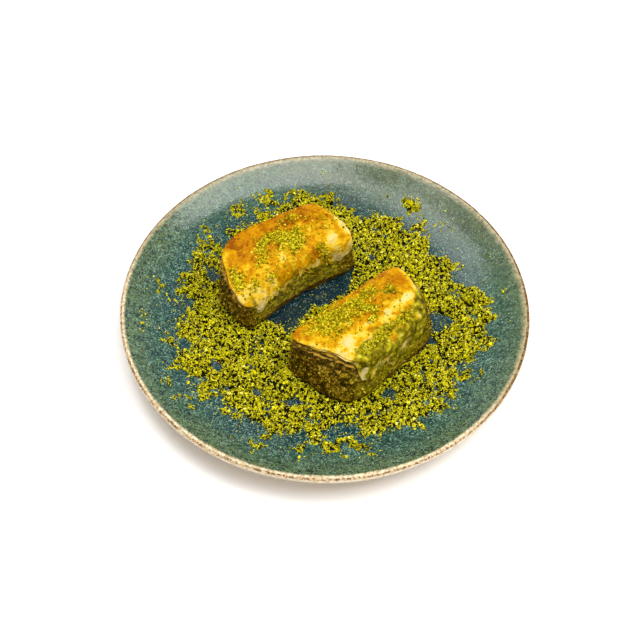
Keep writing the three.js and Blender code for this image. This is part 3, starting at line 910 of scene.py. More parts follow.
def crust_tone(s, p, share, v):
    """How toasted and how green the crust is at places."""
    x, y = rounded_square(share)
    reach = np.minimum(v, 1)
    fall = clamp01(v - 1)
    a, b = x * reach, y * (reach + fall * np.abs(y) ** CORNER_POWER)
    seed = s["seed"] * 10
    flat = np.stack([a * HALF_LENGTH, b * HALF_WIDTH, 8 * fall], axis=-1)
    streaks = np.stack([a * HALF_LENGTH, b * HALF_WIDTH, 2 * fall], axis=-1)
    warped_a = a + 0.1 * noise(flat, 7, seed + 31) + 0.05 * noise(flat, 3, seed + 32)
    warped_b = b + 0.16 * noise(flat, 7, seed + 33) + 0.1 * noise(flat, 3, seed + 34)
    front = smooth(0.2, -0.4, warped_b)
    toast = s["bake"] + 0.06 * smooth(-0.2, 0.6, b) + spots(s, "toasted", warped_a, warped_b)
    toast = toast + 0.12 * fractal(flat, 9, seed + 35, 4)
    toast = toast - (0.26 - 0.4 * fractal(streaks, 5, seed + 37, 3)) * smooth(0.0, 0.3, fall)
    leaf = terrace(p, 9, seed + 5, -0.22, 1) + terrace(p, 8, seed + 6, 0.02, 1)
    toast = toast - 0.08 * leaf + 0.12 * terrace(flat, 4, seed + 38, 0.05, 1)
    toast = toast - 0.16 * front * terrace(flat, 3, seed + 40, 0.0, 1)
    ends = smooth(0.9, 1, np.abs(x)) * smooth(0.9, 0.6, np.abs(y))
    toast = toast - 0.3 * ends * (smooth(0.92, 0.98, v) - smooth(1.1, 1.3, v))
    toast = toast + 0.5 * ends * smooth(1.25, 1.4, v) - 0.7 * ends * smooth(1.55, 1.7, v)
    green = spots(s, "greened", warped_a, warped_b)
    wet = smooth(0.5, 0.8, -b + 0.25 * fractal(streaks, 7, seed + 36, 3))
    green = green + s["drape_green"] * wet * (0.85 + 1.1 * fractal(streaks, 5, seed + 39, 4))
    green = green + 0.4 * smooth(0.2, 0.8, fall) * (b > 0)
    return toast, green


def add_crust(s, material):
    """The crust: a thin baked shell with blisters, torn leaves and a ragged hem."""
    count = 390
    share = np.arange(count) / count
    outer_v = np.concatenate([np.linspace(2, 1, 36), np.linspace(0.986, 0.02, 66)])
    inner_v = np.array([0.3, 0.7, 0.92, 1.0, 1.3, 1.7, 2.0])
    v_out, share_out = np.meshgrid(outer_v, share, indexing="ij")
    outer, _ = skin(s, share_out, v_out)
    v_in, share_in = np.meshgrid(inner_v, share, indexing="ij")
    p, normal, _, _ = skin_frame(s, share_in, v_in)
    thickness = mix(CRUST_THICKNESS, 0.55, smooth(1.0, 1.9, v_in))
    inner = p - normal * thickness[..., None]
    inner[-1] = outer[0] - normal[-1] * 0.4
    rings = np.concatenate([inner, outer])
    top = outer[-1].mean(axis=0)
    verts = ring_points(top - [0, 0, CRUST_THICKNESS], rings, top)
    v = np.concatenate([v_in, v_out])
    toast, green = crust_tone(s, rings, np.concatenate([share_in, share_out]), v)
    values = {
        "toast": ring_values(0.6, toast, 0.6),
        "green": ring_values(0, green, 0),
    }
    faces = ring_faces(len(rings), count)
    nodes = [s["name"] + "_crust"]
    return place_piece(s["name"] + "_golden_crust", verts, faces, material, nodes, values)


def add_flakes(s, material):
    """Thin torn leaves that lie on the crust's shoulder and hang at its hem."""
    random = np.random.default_rng(s["seed"] + 500)
    parts = Parts()
    count, spokes = 34, 18
    gap, below, above = 0.08, 0.06, 0.1
    ring_reach = np.array([0.4, 0.75, 0.94, 1.0])[:, None]
    angle = np.linspace(0, 2 * np.pi, spokes, endpoint=False)
    for k in range(count):
        front = k % 3 != 2
        share = random.uniform(0.64, 0.86) if front else random.random()
        v = random.uniform(0.75, 1.85) if front else random.uniform(0.35, 1.0)
        length, width = random.uniform(2.5, 6), random.uniform(1.2, 3)
        turn = random.uniform(0, np.pi)
        lift = random.uniform(0.1, 0.6)
        rag = 1 + 0.3 * ripple(np.cos(angle) * 4, np.sin(angle) * 4, 5, k)
        local_x = length / 2 * ring_reach * np.cos(angle) * rag
        local_y = width / 2 * ring_reach * np.sin(angle) * rag
        along_x = local_x * math.cos(turn) - local_y * math.sin(turn)
        down_y = local_x * math.sin(turn) + local_y * math.cos(turn)
        _, _, along, down = skin_frame(s, np.array([share]), np.array([v]))
        shares = share + along_x / np.linalg.norm(along)
        vs = np.clip(v + down_y / np.linalg.norm(down), 0.05, 2)
        p, normal = skin(s, shares, vs)
        rise = (gap + clamp01(local_x / length + 0.5) ** 3 * lift)[..., None]
        lower, upper = p + normal * (rise - below), p + normal * (rise + above)
        middle, middle_normal = skin(s, np.array([share]), np.array([v]))
        rings = np.concatenate([lower, upper[::-1]])[:, ::-1]
        first = middle[0] + middle_normal[0] * (rise.mean() - below)
        last = middle[0] + middle_normal[0] * (rise.mean() + above)
        toast, green = crust_tone(s, middle, np.array([share]), np.array([v]))
        verts = ring_points(first, rings, last)
        values = {"toast": toast + 0.06, "green": green - 0.05}
        parts.add(verts, ring_faces(len(rings), spokes), **values)
    return parts.place(s["name"] + "_torn_leaves", material, "crust")


def filling_side(s, share, level):
    """A place on the bare side of the filling: level runs from 0 at the base to 1 at the hem."""
    x, y = rounded_square(share)
    long_side = np.abs(y) ** CORNER_POWER
    height = mix(BASE_HEIGHT, filling_top(s, x, y), level)
    tuck = 0.9 * smooth(0.88, 1, level) * (1 - long_side)
    size = 0.985 - (tuck + 0.35 * long_side) / HALF_WIDTH
    return on_slice(s, x * size, y * size, height)


def filling_normal(s, share, level):
    """The direction straight out of the filling's side."""
    step, rise = 0.004, 0.03
    along = filling_side(s, share + step, level) - filling_side(s, share - step, level)
    up = filling_side(s, share, level + rise) - filling_side(s, share, level - rise)
    normal = np.cross(along, up)
    return normal / np.linalg.norm(normal, axis=-1, keepdims=True)


def filling_relief(s, p):
    """Lumps of chopped nut in the filling's sides, in millimetres outwards."""
    seed = s["seed"] * 10 + 200
    coarse, coarse_number = cells(p, 2.6, seed)
    fine, number = cells(p, 1.35, seed + 5)
    lumps = 1.0 * (0.55 - coarse) * (0.4 + coarse_number) + 0.6 * (0.5 - fine) * (0.3 + number)
    hollows = 0.45 * fractal(p, 6, seed + 9, 3)
    return lumps + hollows, coarse, number


def add_filling(s, material):
    """The nut filling, with its lumps at the cut ends and below the crust's hem."""
    count = 400
    share = np.arange(count) / count
    level, shares = np.meshgrid(np.linspace(0, 1, 48), share, indexing="ij")
    p = filling_side(s, shares, level)
    relief, shaded_hollow, number = filling_relief(s, p)
    _, side_y = rounded_square(shares)
    long_side = np.abs(side_y) ** CORNER_POWER
    fade = smooth(1.0, 0.93, level) * mix(1, 0.5, long_side)
    sides = p + filling_normal(s, shares, level) * (relief * fade)[..., None]
    inset = 1 - (CRUST_THICKNESS + GAP) / HALF_WIDTH
    x, y = rounded_square(share)
    floor = on_slice(s, x * 0.6, y * 0.6, BASE_HEIGHT + 0 * x)
    under = crust_top(s, x, y) - CRUST_THICKNESS - 1.5
    behind_hem = np.minimum(under, hem_height(s, x, y) + 0.3)
    tucked = [on_slice(s, x * inset, y * inset, height) for height in (behind_hem, under)]
    for reach in (0.72, 0.4):
        height = crust_top(s, x * reach, y * reach) - CRUST_THICKNESS - 0.65
        tucked.append(on_slice(s, x * reach, y * reach, height))
    rings = np.concatenate([[floor], sides, tucked])
    middle = on_axis(s, crust_top(s, 0, 0) - CRUST_THICKNESS - 0.65)
    warm = smooth(0.6, -0.3, side_y)
    shade = smooth(0.72, 0.9, level + 0.08 * noise(p, 3, s["seed"] + 210))
    fields = {"shaded_hollow": shaded_hollow, "number": number, "front": long_side, "warm": warm, "shade": shade}
    around_sides = ((1, len(tucked)), (0, 0))
    values = {key: ring_values(0, np.pad(field, around_sides), 0) for key, field in fields.items()}
    verts = ring_points(on_axis(s, BASE_HEIGHT), rings, middle)
    faces = ring_faces(len(rings), count)
    nodes = [s["name"] + "_filling"]
    return place_piece(s["name"] + "_nut_filling", verts, faces, material, nodes, values)


def add_filling_chips(s, material):
    """Chips of nut that stick out of the filling's sides, most of them at the cut ends."""
    random = np.random.default_rng(s["seed"] + 600)
    share = random.random(4400)
    _, y = rounded_square(share)
    share = share[random.random(len(share)) > 0.7 * np.abs(y) ** CORNER_POWER]
    count = len(share)
    level = random.uniform(0, 0.93, count)
    p = filling_side(s, share, level)
    relief, _, _ = filling_relief(s, p)
    sizes = mix(0.5, 1.6, random.random(count) ** 2)
    out = relief + sizes * random.uniform(-0.25, 0.2, count)
    places = p + filling_normal(s, share, level) * out[:, None]
    return place_chips(s["name"] + "_nut_chips", material, random, places, sizes)


def add_base_leaves(s, material):
    """The soaked lower leaves: a stack of thin sheets with ragged edges."""
    leaf_count = 6
    pitch = BASE_HEIGHT / leaf_count
    thickness = 0.8 * pitch
    count = 230
    x, y = rounded_square(np.arange(count) / count)
    edge_line = [(-9, 0), (-0.5, 0), (0, 0.25), (0, 0.75), (-0.5, 1), (-9, 1)]
    parts = Parts()
    for leaf in range(leaf_count):
        low = pitch * leaf + 0.02
        edge = 0.45 * around(s, x, y, 13, leaf) + 0.3 * around(s, x, y, 4, leaf + 3)
        edge = edge - (0.5 if leaf % 2 else 1.1)
        wave = 0.1 * around(s, x, y, 7, leaf + 6)
        rings = []
        for inset, share_up in edge_line:
            lift = wave * smooth(-6, -1, inset) * (leaf > 0)
            height = np.maximum(low + thickness * share_up + lift, 0)
            rings.append(moved_out(s, x, y, edge + inset, height))
        verts = ring_points(on_axis(s, low), rings, on_axis(s, low + thickness))
        parts.add(verts, ring_faces(len(rings), count), leaf=leaf / (leaf_count - 1))
    return parts.place(s["name"] + "_soaked_leaves", material, "base_leaves", [s["name"] + "_base"])


def add_upper_leaves(s, material):
    """The leaves right below the crust, whose wavy edges stick out at the cut ends."""
    count = 300
    x, y = rounded_square(np.arange(count) / count)
    long_side = np.abs(y) ** CORNER_POWER
    top = filling_top(s, x, y)
    edge_line = [(-9, 0), (-1, 0), (0, 0.08), (0, 0.25), (-1, 0.33), (-9, 0.33)]
    parts = Parts()
    for leaf in range(2):
        height = top - 1.0 - 1.3 * leaf + 0.45 * around(s, x, y, 6, leaf + 20)
        edge = 0.35 + 0.4 * around(s, x, y, 5, leaf + 24) + 0.3 * around(s, x, y, 1.9, leaf + 27)
        edge = edge - 4 * smooth(0.1, 0.6, long_side)
        rings = [moved_out(s, x, y, edge + inset, height + up) for inset, up in edge_line]
        verts = ring_points(np.mean(rings[0], axis=0), rings, np.mean(rings[-1], axis=0))
        parts.add(verts, ring_faces(len(rings), count), leaf=1.3 + leaf / 2)
    return parts.place(s["name"] + "_upper_leaves", material, "filling")


def add_crumbs_on(s, material):
    """The crumbs that lie on a slice in heaps."""
    random = np.random.default_rng(s["seed"] + 700)
    places, sizes = [], []
    for middle_a, middle_b, wide, deep, count in s["crumbs"]:
        off_a, off_b = random.normal(size=(2, count))
        a = np.clip(middle_a + wide * off_a, -0.96, 0.96)
        b = np.clip(middle_b + deep * off_b, -0.99, 0.96)
        share, reach = share_and_reach(a, b)
        slipped = (b < -0.8) & (random.random(count) < 0.4)
        v = np.where(slipped, 1 + 0.8 * random.random(count), np.minimum(reach, 0.99))
        size = mix(0.7, 1.7, random.random(count) ** 1.4)
        p, normal = skin(s, share, v)
        heap = 0.5 * np.exp(-(off_a**2 + off_b**2) / 2) * random.random(count)
        place = p + normal * (size * 0.2 + heap)[:, None]
        place[:, 2] = np.minimum(place[:, 2], HEAPS_TOP - size / 2)
        places.append(place)
        sizes.append(size)
    places, sizes = np.concatenate(places), np.concatenate(sizes)
    return place_chips(s["name"] + "_crumbs", material, random, places, sizes)


# Materials

def linear(red, green, blue):
    """A colour given as 0 to 255 on screen, as shaders take it."""
    def channel(value):
        share = value / 255
        return share / 12.92 if share <= 0.04045 else ((share + 0.055) / 1.055) ** 2.4
    return (channel(red), channel(green), channel(blue), 1)


class Surface:
    """A material and short calls that add and join its nodes."""

    def __init__(self, name):
        self.material = bpy.data.materials.new(name)
        self.material.use_nodes = True
        self.tree = self.material.node_tree
        self.tree.nodes.clear()
        self.place = self.add("ShaderNodeTexCoord").outputs["Object"]

    def add(self, kind, inputs=None, **settings):
        """A new node, with its settings and its joined or constant inputs."""
        node = self.tree.nodes.new(kind)
        for key, value in settings.items():
            setattr(node, key, value)
        for key, value in (inputs or {}).items():
            self.join(value, node.inputs[key])
        return node

    def join(self, value, socket):
        """Links a socket, or sets it to a number or to a screen colour of three numbers."""
        if isinstance(value, bpy.types.NodeSocket):
            self.tree.links.new(value, socket)
        else:
            socket.default_value = linear(*value) if isinstance(value, tuple) else value

    def math(self, operation, a, b=0.0):
        return self.add("ShaderNodeMath", {0: a, 1: b}, operation=operation).outputs[0]

    def plus(self, total, *others):
        for other in others:
            total = self.math("ADD", total, other)
        return total

    def minus(self, a, b):
        return self.math("SUBTRACT", a, b)

    def times(self, product, *others):
        for other in others:
            product = self.math("MULTIPLY", product, other)
        return product

    def noise(self, size, detail=3.0, rough=0.55, place=None, twist=0.0):
        """Noise from 0 to 1 with lumps of about a size in millimetres."""
        inputs = {
            "Vector": place or self.place,
            "Scale": 1 / (size * MM),
            "Detail": detail,
            "Roughness": rough,
            "Distortion": twist,
        }
        return self.add("ShaderNodeTexNoise", inputs).outputs["Fac"]

    def wander(self, amount, size, detail=3.0, rough=0.6, place=None):
        """Noise about 0, of a height and a size."""
        field = self.noise(size, detail, rough, place)
        return self.times(self.minus(field, 0.5), amount)

    def specks(self, size):
        """Distance from scattered points, for specks of about a size in millimetres."""
        inputs = {"Vector": self.place, "Scale": 1 / (size * MM)}
        return self.add("ShaderNodeTexVoronoi", inputs).outputs["Distance"]

    def value(self, name):
        return self.add("ShaderNodeAttribute", attribute_name=name).outputs["Fac"]

    def spread(self, value, low, high):
        """value taken from low to high smoothly onto 0 to 1."""
        inputs = {"Value": value, "From Min": min(low, high), "From Max": max(low, high)}
        if low > high:
            inputs["To Min"], inputs["To Max"] = 1.0, 0.0
        return self.add("ShaderNodeMapRange", inputs, interpolation_type="SMOOTHSTEP").outputs[0]

    def blend(self, share, a, b):
        """The colour a where share is 0, and b where it is 1."""
        inputs = {"Factor": share, 6: a, 7: b}
        return self.add("ShaderNodeMix", inputs, data_type="RGBA").outputs[2]

    def stain(self, color, share, strength, other):
        """A colour turned towards another by a share times a strength."""
        return self.blend(self.times(share, strength), color, other)

    def ramp(self, value, stops):
        """Colours at places from 0 to 1: each stop is its place and the three numbers."""
        node = self.add("ShaderNodeValToRGB", {"Fac": value})
        elements = node.color_ramp.elements
        colors = [(stop, linear(*color)) for stop, *color in stops]
        elements[0].position, elements[0].color = colors[0]
        elements[1].position, elements[1].color = colors[-1]
        for stop, color in colors[1:-1]:
            elements.new(stop).color = color
        return node.outputs["Color"]

    def bump(self, height, strength, depth, normal=None):
        """Relief of a depth in millimetres."""
        inputs = {"Height": height, "Strength": strength, "Distance": depth * MM}
        if normal is not None:
            inputs["Normal"] = normal
        return self.add("ShaderNodeBump", inputs).outputs["Normal"]

    def finish(self, color, roughness, normal, **constants):
        inputs = {"Base Color": color, "Roughness": roughness, "Normal": normal}
        shader = self.add("ShaderNodeBsdfPrincipled", inputs)
        for key, value in constants.items():
            shader.inputs[key.replace("_", " ")].default_value = value
        self.add("ShaderNodeOutputMaterial", {"Surface": shader.outputs[0]})
        return self.material


def glaze_places(s):
    """Where a place lies on the plate: how far out as a share of the whole, how far back in
    metres, and a place whose noise makes streaks that run up the wall."""
    xyz = s.add("ShaderNodeSeparateXYZ", {"Vector": s.place})
    x, y = xyz.outputs[0], xyz.outputs[1]
    radius = s.math("SQRT", s.plus(s.times(x, x), s.times(y, y)))
    wall_ring = s.math("DIVIDE", 0.085, s.math("MAXIMUM", radius, 0.001))
    along_wall = {0: s.times(x, wall_ring), 1: s.times(y, wall_ring), 2: s.times(radius, 0.22)}
    streaks = s.add("ShaderNodeCombineXYZ", along_wall).outputs[0]
    return s.math("DIVIDE", radius, PLATE_RADIUS * MM), s.plus(s.times(x, 0.5), y), streaks


def glaze_body(s, share, back, streaks):
    """Dark teal in the middle and grey-green on the wall, with blots and mottle, painted glints and
    glint dots, and a painted sheen haze on the far wall.
    """
    zone = s.plus(share, s.wander(0.22, 24, 5.0, 0.62), s.wander(0.1, 2.4, 4.0, 0.6, streaks))
    body = s.ramp(zone, [
        (0.0, 10, 36, 44),
        (0.55, 10, 42, 50),
        (0.72, 22, 60, 58),
        (0.84, 52, 86, 68),
        (0.95, 88, 106, 68),
    ])
    blots = s.spread(s.noise(10, 5.0, 0.65, twist=1.2), 0.53, 0.66)
    blots = s.times(blots, s.spread(share, 0.93, 0.7))
    body = s.stain(body, blots, 0.9, (9, 34, 52))
    olive = s.spread(s.noise(7, 4.0, 0.6), 0.56, 0.72)
    body = s.stain(body, olive, 0.35, (88, 100, 62))
    mottle = s.spread(s.noise(2.4, 4.0, 0.75, twist=1.5), 0.46, 0.56)
    # calm is lower on the far side, so there the dark mottle and the painted glints are weaker: a
    # painted lightening where the sheen lies.
    calm = s.minus(0.85, s.times(s.spread(back, 0.0, 0.05), 0.2))
    body = s.stain(body, mottle, calm, (4, 30, 38))
    # Painted reflection: a beige haze on the far wall near the rim, where the sheen lies.
    painted_sheen_haze = s.times(s.spread(back, 0.055, 0.095), s.spread(share, 0.66, 0.9))
    body = s.stain(body, painted_sheen_haze, 0.45, (92, 92, 66))
    # Painted glints: pale specks that stand for tiny highlights on the glaze, most on the wall and
    # fewer on the far side.
    painted_glints = s.spread(s.noise(1.5, 2.0, 0.65, twist=2.0), 0.56, 0.63)
    painted_glints = s.times(painted_glints, s.plus(0.3, s.spread(share, 0.4, 0.8)), s.minus(calm, 0.27))
    body = s.blend(painted_glints, body, (132, 168, 146))
    # Painted glint dots: more pale specks for tiny highlights, kept off the rim.
    crowd = s.times(s.spread(s.noise(5, 4.0, 0.6), 0.44, 0.58), s.spread(share, 0.97, 0.92))
    painted_glint_dots = s.times(s.spread(s.specks(1.1), 0.36, 0.16), crowd)
    return s.stain(body, painted_glint_dots, 0.6, (150, 176, 160))


def glaze_rim(s, body, back):
    """Inside the lip the glaze wears to beige and on it to a brown line; near the viewer both are
    painted paler, a painted highlight along the crest. Outside it stops at speckled cream clay."""
    crest = s.value("from_crest")
    width = s.plus(1.5, s.times(s.spread(back, -0.06, 0.06), 1.9))
    worn = s.plus(s.math("DIVIDE", crest, width), s.wander(0.9, 3.2, 4.0))
    # near is the side towards the viewer, where the beige and the brown are painted paler as a
    # highlight along the crest.
    near = s.spread(back, 0.0, -0.05)
    patchy = s.spread(s.noise(1.6, 4.0), 0.4, 0.65)
    beige = s.blend(patchy, (178, 164, 126), (134, 124, 90))
    beige = s.blend(near, beige, s.blend(patchy, (222, 206, 170), (180, 150, 106)))
    body = s.blend(s.spread(worn, 1.1, 0.0), body, beige)
    dotted = s.spread(s.noise(1.0, 3.0), 0.42, 0.6)
    brown = s.blend(dotted, (64, 38, 12), (146, 98, 46))
    brown = s.blend(near, brown, s.blend(dotted, (116, 86, 52), (206, 178, 134)))
    shifted = s.minus(crest, s.times(s.spread(back, -0.03, 0.05), 0.5))
    line = s.times(s.spread(shifted, -2.1, -1.6), s.spread(shifted, -0.2, -0.6))
    line = s.times(line, s.spread(s.noise(3, 4.0, 0.65), 0.34, 0.5))
    body = s.blend(line, body, brown)
    speckled = s.spread(s.noise(2.2, 5.0, 0.65), 0.42, 0.66)
    clay = s.blend(speckled, (226, 210, 180), (190, 152, 106))
    outer = s.plus(crest, s.wander(0.8, 3.2))
    return s.blend(s.spread(outer, -1.5, -2.1), body, clay)


def glaze_material():
    """Reactive glaze over cream clay, with slight waves and a fine grain."""
    s = Surface("reactive_glaze")
    share, back, streaks = glaze_places(s)
    body = glaze_rim(s, glaze_body(s, share, back, streaks), back)
    fine = s.bump(s.noise(0.9, 2.0), 0.5, 0.1)
    relief = s.bump(s.noise(2.6, 3.0, 0.6), 0.5, 0.2, fine)
    rough = s.plus(0.14, s.wander(0.16, 1.2))
    return s.finish(body, rough, relief, IOR=1.44)


def crust_material():
    """Baked pastry: cream where it is pale, gold to deep orange where it is browned, and
    greenish where the wet leaf clings to the nuts."""
    s = Surface("golden_crust")
    patches = s.minus(s.noise(4.5, 5.0, 0.65, twist=0.8), 0.5)
    torn = s.minus(s.spread(s.noise(3.2, 6.0, 0.68), 0.47, 0.53), 0.5)
    bits = s.minus(s.spread(s.noise(1.5, 4.0, 0.65), 0.46, 0.54), 0.5)
    toast = s.plus(s.value("toast"), s.times(patches, 0.3), s.times(torn, 0.16))
    toast = s.plus(toast, s.times(bits, 0.1), s.wander(0.26, 1.0))
    color = s.ramp(toast, [
        (0.0, 216, 192, 124),
        (0.18, 224, 190, 78),
        (0.34, 216, 174, 24),
        (0.5, 196, 144, 4),
        (0.65, 182, 124, 0),
        (0.8, 170, 106, 0),
        (1.0, 126, 64, 0),
    ])
    wet = s.ramp(s.plus(s.noise(2.6, 4.0, 0.55), s.wander(0.36, 9, 2.0)), [
        (0.3, 56, 50, 2),
        (0.42, 94, 85, 3),
        (0.53, 130, 118, 8),
        (0.64, 176, 163, 28),
        (0.76, 206, 196, 96),
    ])
    green = s.plus(s.value("green"), s.times(patches, 0.4), s.wander(0.3, 1.4))
    color = s.blend(s.spread(green, 0.2, 0.62), color, wet)
    flecks = s.spread(s.specks(1.7), 0.2, 0.08)
    flecks = s.times(flecks, s.spread(s.noise(6, 3.0), 0.46, 0.6))
    color = s.stain(color, flecks, 0.7, (140, 76, 6))
    fine = s.bump(s.noise(0.6, 3.0, 0.6), 0.35, 0.12)
    relief = s.bump(s.noise(2.4, 5.0, 0.65, twist=1.5), 0.7, 0.35, fine)
    rough = s.plus(0.4, s.wander(0.4, 3.0, 4.0))
    return s.finish(color, rough, relief, IOR=1.45, Specular_IOR_Level=0.2,
                    Specular_Tint=(1, 0.75, 0.15, 1))


def filling_material():
    """Moist chopped nuts and soaked pastry: dark olive brown with lighter bits, and painted shade
    in the hollows between the lumps.
    """
    s = Surface("nut_filling")
    number = s.plus(s.value("number"), s.wander(0.9, 1.1))
    warm = s.times(s.minus(s.value("warm"), 0.6), 0.3)
    ends = s.ramp(s.plus(number, warm), [
        (0.0, 38, 23, 4),
        (0.3, 70, 48, 6),
        (0.55, 112, 86, 6),
        (0.8, 150, 118, 14),
        (1.0, 196, 160, 50),
    ])
    sides = s.ramp(number, [
        (0.0, 88, 82, 3),
        (0.35, 130, 121, 5),
        (0.7, 168, 154, 12),
        (1.0, 208, 192, 50),
    ])
    front = s.value("front")
    color = s.blend(front, ends, sides)
    end_share = s.minus(1.0, s.times(front, 0.6))
    brown = s.times(s.spread(s.noise(6, 4.0, 0.6), 0.47, 0.62), end_share)
    color = s.stain(color, brown, 0.6, (98, 58, 12))
    # Painted shade: the hollows between the coarse lumps, most at the cut ends, darkened nearly to
    # black.
    shaded_hollow = s.times(s.spread(s.value("shaded_hollow"), 0.4, 0.75), end_share)
    color = s.stain(color, shaded_hollow, 0.85, (20, 12, 1))
    shade = s.times(s.value("shade"), s.spread(s.noise(1.6, 4.0), 0.62, 0.48))
    shade = s.times(shade, s.minus(1.0, front))
    color = s.stain(color, shade, 0.8, (52, 29, 18))
    fine = s.bump(s.noise(0.5, 3.0, 0.6), 0.5, 0.15)
    rough = s.plus(0.4, s.wander(0.3, 1.6))
    return s.finish(color, rough, fine, IOR=1.46, Specular_IOR_Level=0.25,
                    Specular_Tint=(1, 0.85, 0.35, 1))


def leaves_material():
    """Soaked lower leaves: amber brown, darker in blotches and towards the lowest leaf."""
    s = Surface("soaked_leaves")
    tone = s.plus(s.times(s.value("leaf"), 0.3), s.noise(3.2, 5.0, 0.65))
    color = s.ramp(tone, [
        (0.35, 22, 14, 1),
        (0.6, 52, 36, 3),
        (0.85, 92, 66, 8),
        (1.0, 168, 130, 44),
    ])
    relief = s.bump(s.noise(1.0, 3.0, 0.6), 0.5, 0.2)
    rough = s.plus(0.45, s.wander(0.25, 2.0))
    return s.finish(color, rough, relief, IOR=1.46, Specular_IOR_Level=0.15,
                    Specular_Tint=(1, 0.8, 0.3, 1))


def nut_material(name, stops, rough=0.7):
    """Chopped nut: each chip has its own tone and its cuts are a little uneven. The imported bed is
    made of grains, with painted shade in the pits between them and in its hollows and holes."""
    s = Surface(name)
    color = s.ramp(s.plus(s.value("tone"), s.wander(0.45, 0.8)), stops)
    grains = s.specks(1.05)
    # Painted shade: near-black pits between the bed's grains.
    painted_pit_shade = s.times(s.spread(s.noise(0.7, 2.0, 0.5), 0.49, 0.43), s.value("packed"))
    color = s.blend(painted_pit_shade, color, (8, 8, 1))
    # Painted shade: the bed's hollows and holes, by their depth, darkened nearly to black.
    deep = s.spread(s.plus(s.value("depth"), s.wander(0.4, 0.9)), 0.3, 0.58)
    color = s.blend(deep, color, (8, 9, 2))
    relief = s.bump(s.noise(0.35, 3.0, 0.6), 0.5, 0.08)
    domes = s.times(grains, s.times(s.value("packed"), -1.0))
    relief = s.bump(domes, 1.0, 0.45, relief)
    rough = s.plus(rough, s.wander(0.2, 0.9))
    return s.finish(color, rough, relief, IOR=1.46, Specular_IOR_Level=0.12,
                    Specular_Tint=(1, 0.95, 0.35, 1))


def floor_material():
    s = Surface("pale_floor")
    color = s.blend(s.noise(60, 2.0), (250, 250, 250), (247, 247, 247))
    rough = s.plus(0.9, s.wander(0.05, 40))
    return s.finish(color, rough, s.bump(s.noise(3, 2.0), 0.05, 0.05))


# The object

glaze = glaze_material()
crust = crust_material()
filling = filling_material()
leaves = leaves_material()
bright_nut = nut_material("bright_pistachio", [
    (0.0, 178, 169, 8),
    (0.3, 216, 206, 12),
    (0.65, 238, 229, 28),
    (1.0, 250, 244, 120),
])
topping_nut = nut_material("topping_pistachio", [
    (0.0, 90, 82, 2),
    (0.3, 144, 132, 3),
    (0.65, 191, 175, 7),
    (1.0, 234, 219, 55),
], 0.6)
green_nut = nut_material("green_pistachio", [
    (0.0, 70, 68, 2),
    (0.4, 108, 102, 4),
    (0.8, 144, 134, 8),
    (1.0, 170, 154, 30),
])
packed_nut = nut_material("packed_pistachio", [
    (0.0, 104, 97, 3),
    (0.5, 162, 153, 7),
    (1.0, 214, 204, 20),
], 0.75)
mixed_nut = nut_material("mixed_chips", [
    (0.0, 44, 26, 4),
    (0.4, 92, 68, 4),
    (0.7, 142, 114, 8),
    (0.9, 190, 160, 26),
    (1.0, 222, 196, 90),
], 0.5)
husk = nut_material("nut_skin", [
    (0.0, 70, 22, 14),
    (0.5, 150, 96, 40),
    (1.0, 222, 196, 120),
], 0.55)

add_plate(glaze)
add_nut_bed(packed_nut)
add_crumbs("crumbs_coarse", bright_nut, scatter, 350, 1.2, 2.0, detail=2, seed=1)
add_crumbs("crumbs_bright", bright_nut, scatter, 5200, 0.55, 1.0, detail=1, seed=2)
add_crumbs("crumbs_green", green_nut, scatter, 1500, 0.7, 1.3, detail=1, seed=3)
add_crumbs("crumbs_fine", bright_nut, side_by_side, 0.84, 0.5, 0.9, detail=0, seed=4, lift=0.35)
add_crumbs("nut_skins", husk, scatter, 260, 0.6, 1.2, detail=1, seed=5)
for each in (BACK_SLICE, FRONT_SLICE):
    add_crust(each, crust)
    add_flakes(each, crust)
    add_filling(each, filling)
    add_filling_chips(each, mixed_nut)
    add_base_leaves(each, leaves)
    add_upper_leaves(each, leaves)
    add_crumbs_on(each, topping_nut)


# The floor, the light and the camera

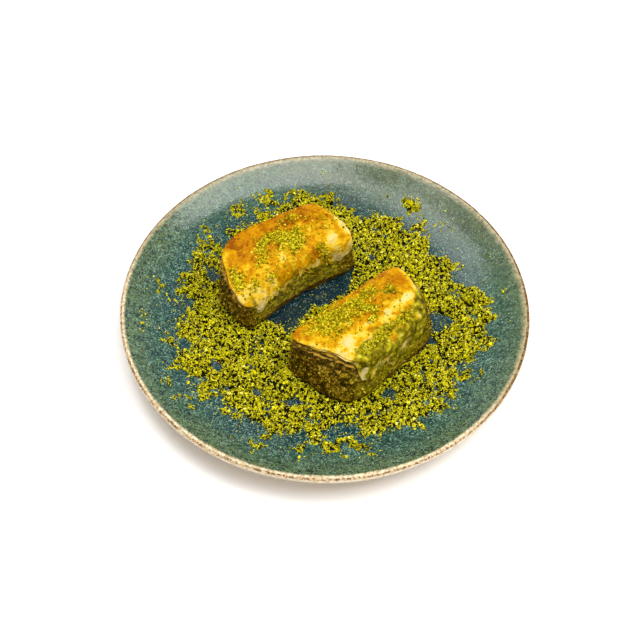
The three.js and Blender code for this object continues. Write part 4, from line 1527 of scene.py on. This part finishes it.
def add_floor():
    """A pale floor, with its half width in metres."""
    size = 3.0
    mesh = bpy.data.meshes.new("floor")
    corners = [(-size, -size, 0), (size, -size, 0), (size, size, 0), (-size, size, 0)]
    mesh.from_pydata(corners, [], [(0, 1, 2, 3)])
    mesh.materials.append(floor_material())
    floor = bpy.data.objects.new("floor", mesh)
    bpy.context.collection.objects.link(floor)


def add_panel(name, place, size, turn, energy):
    """A soft box that faces straight down, with its place and size in metres."""
    panel = bpy.data.lights.new(name, "AREA")
    panel.shape = "RECTANGLE"
    panel.size, panel.size_y = size
    panel.energy = energy
    lamp = bpy.data.objects.new(name, panel)
    lamp.location = place
    lamp.rotation_euler = (0, 0, math.radians(turn))
    bpy.context.collection.objects.link(lamp)


def add_light():
    """A wide panel overhead to the right, a smaller one to the left, and a soft pale room."""
    add_panel("right_panel", (0.42, -0.17, 1.0), (1.05, 0.6), 18, 13.4)
    add_panel("left_panel", (-0.37, 0.27, 1.0), (0.45, 0.75), 18, 4.2)
    world = bpy.data.worlds.new("room")
    world.use_nodes = True
    background = world.node_tree.nodes["Background"]
    background.inputs["Color"].default_value = (1, 1, 1, 1)
    background.inputs["Strength"].default_value = 0.5
    bpy.context.scene.world = world


def add_camera():
    tilt = math.radians(CAMERA_ELEVATION)
    back = Vector((0, -math.cos(tilt), math.sin(tilt)))
    level = Vector((1, 0, 0))
    upward = back.cross(level)
    roll = math.radians(CAMERA_ROLL)
    right = level * math.cos(roll) + upward * math.sin(roll)
    up = -level * math.sin(roll) + upward * math.cos(roll)
    lens = bpy.data.cameras.new("camera")
    lens.sensor_width = SENSOR
    lens.lens = SENSOR * FOCAL_PIXELS / FRAME_PIXELS
    lens.clip_start, lens.clip_end = 0.05, 20
    camera = bpy.data.objects.new("camera", lens)
    turn = Matrix((right, up, back)).transposed().to_4x4()
    where = (Vector(CAMERA_AIM) + back * CAMERA_DISTANCE) * MM
    camera.matrix_world = Matrix.Translation(where) @ turn
    bpy.context.collection.objects.link(camera)
    bpy.context.scene.camera = camera


add_floor()
add_light()
add_camera()
bpy.context.scene.view_settings.view_transform = "Standard"
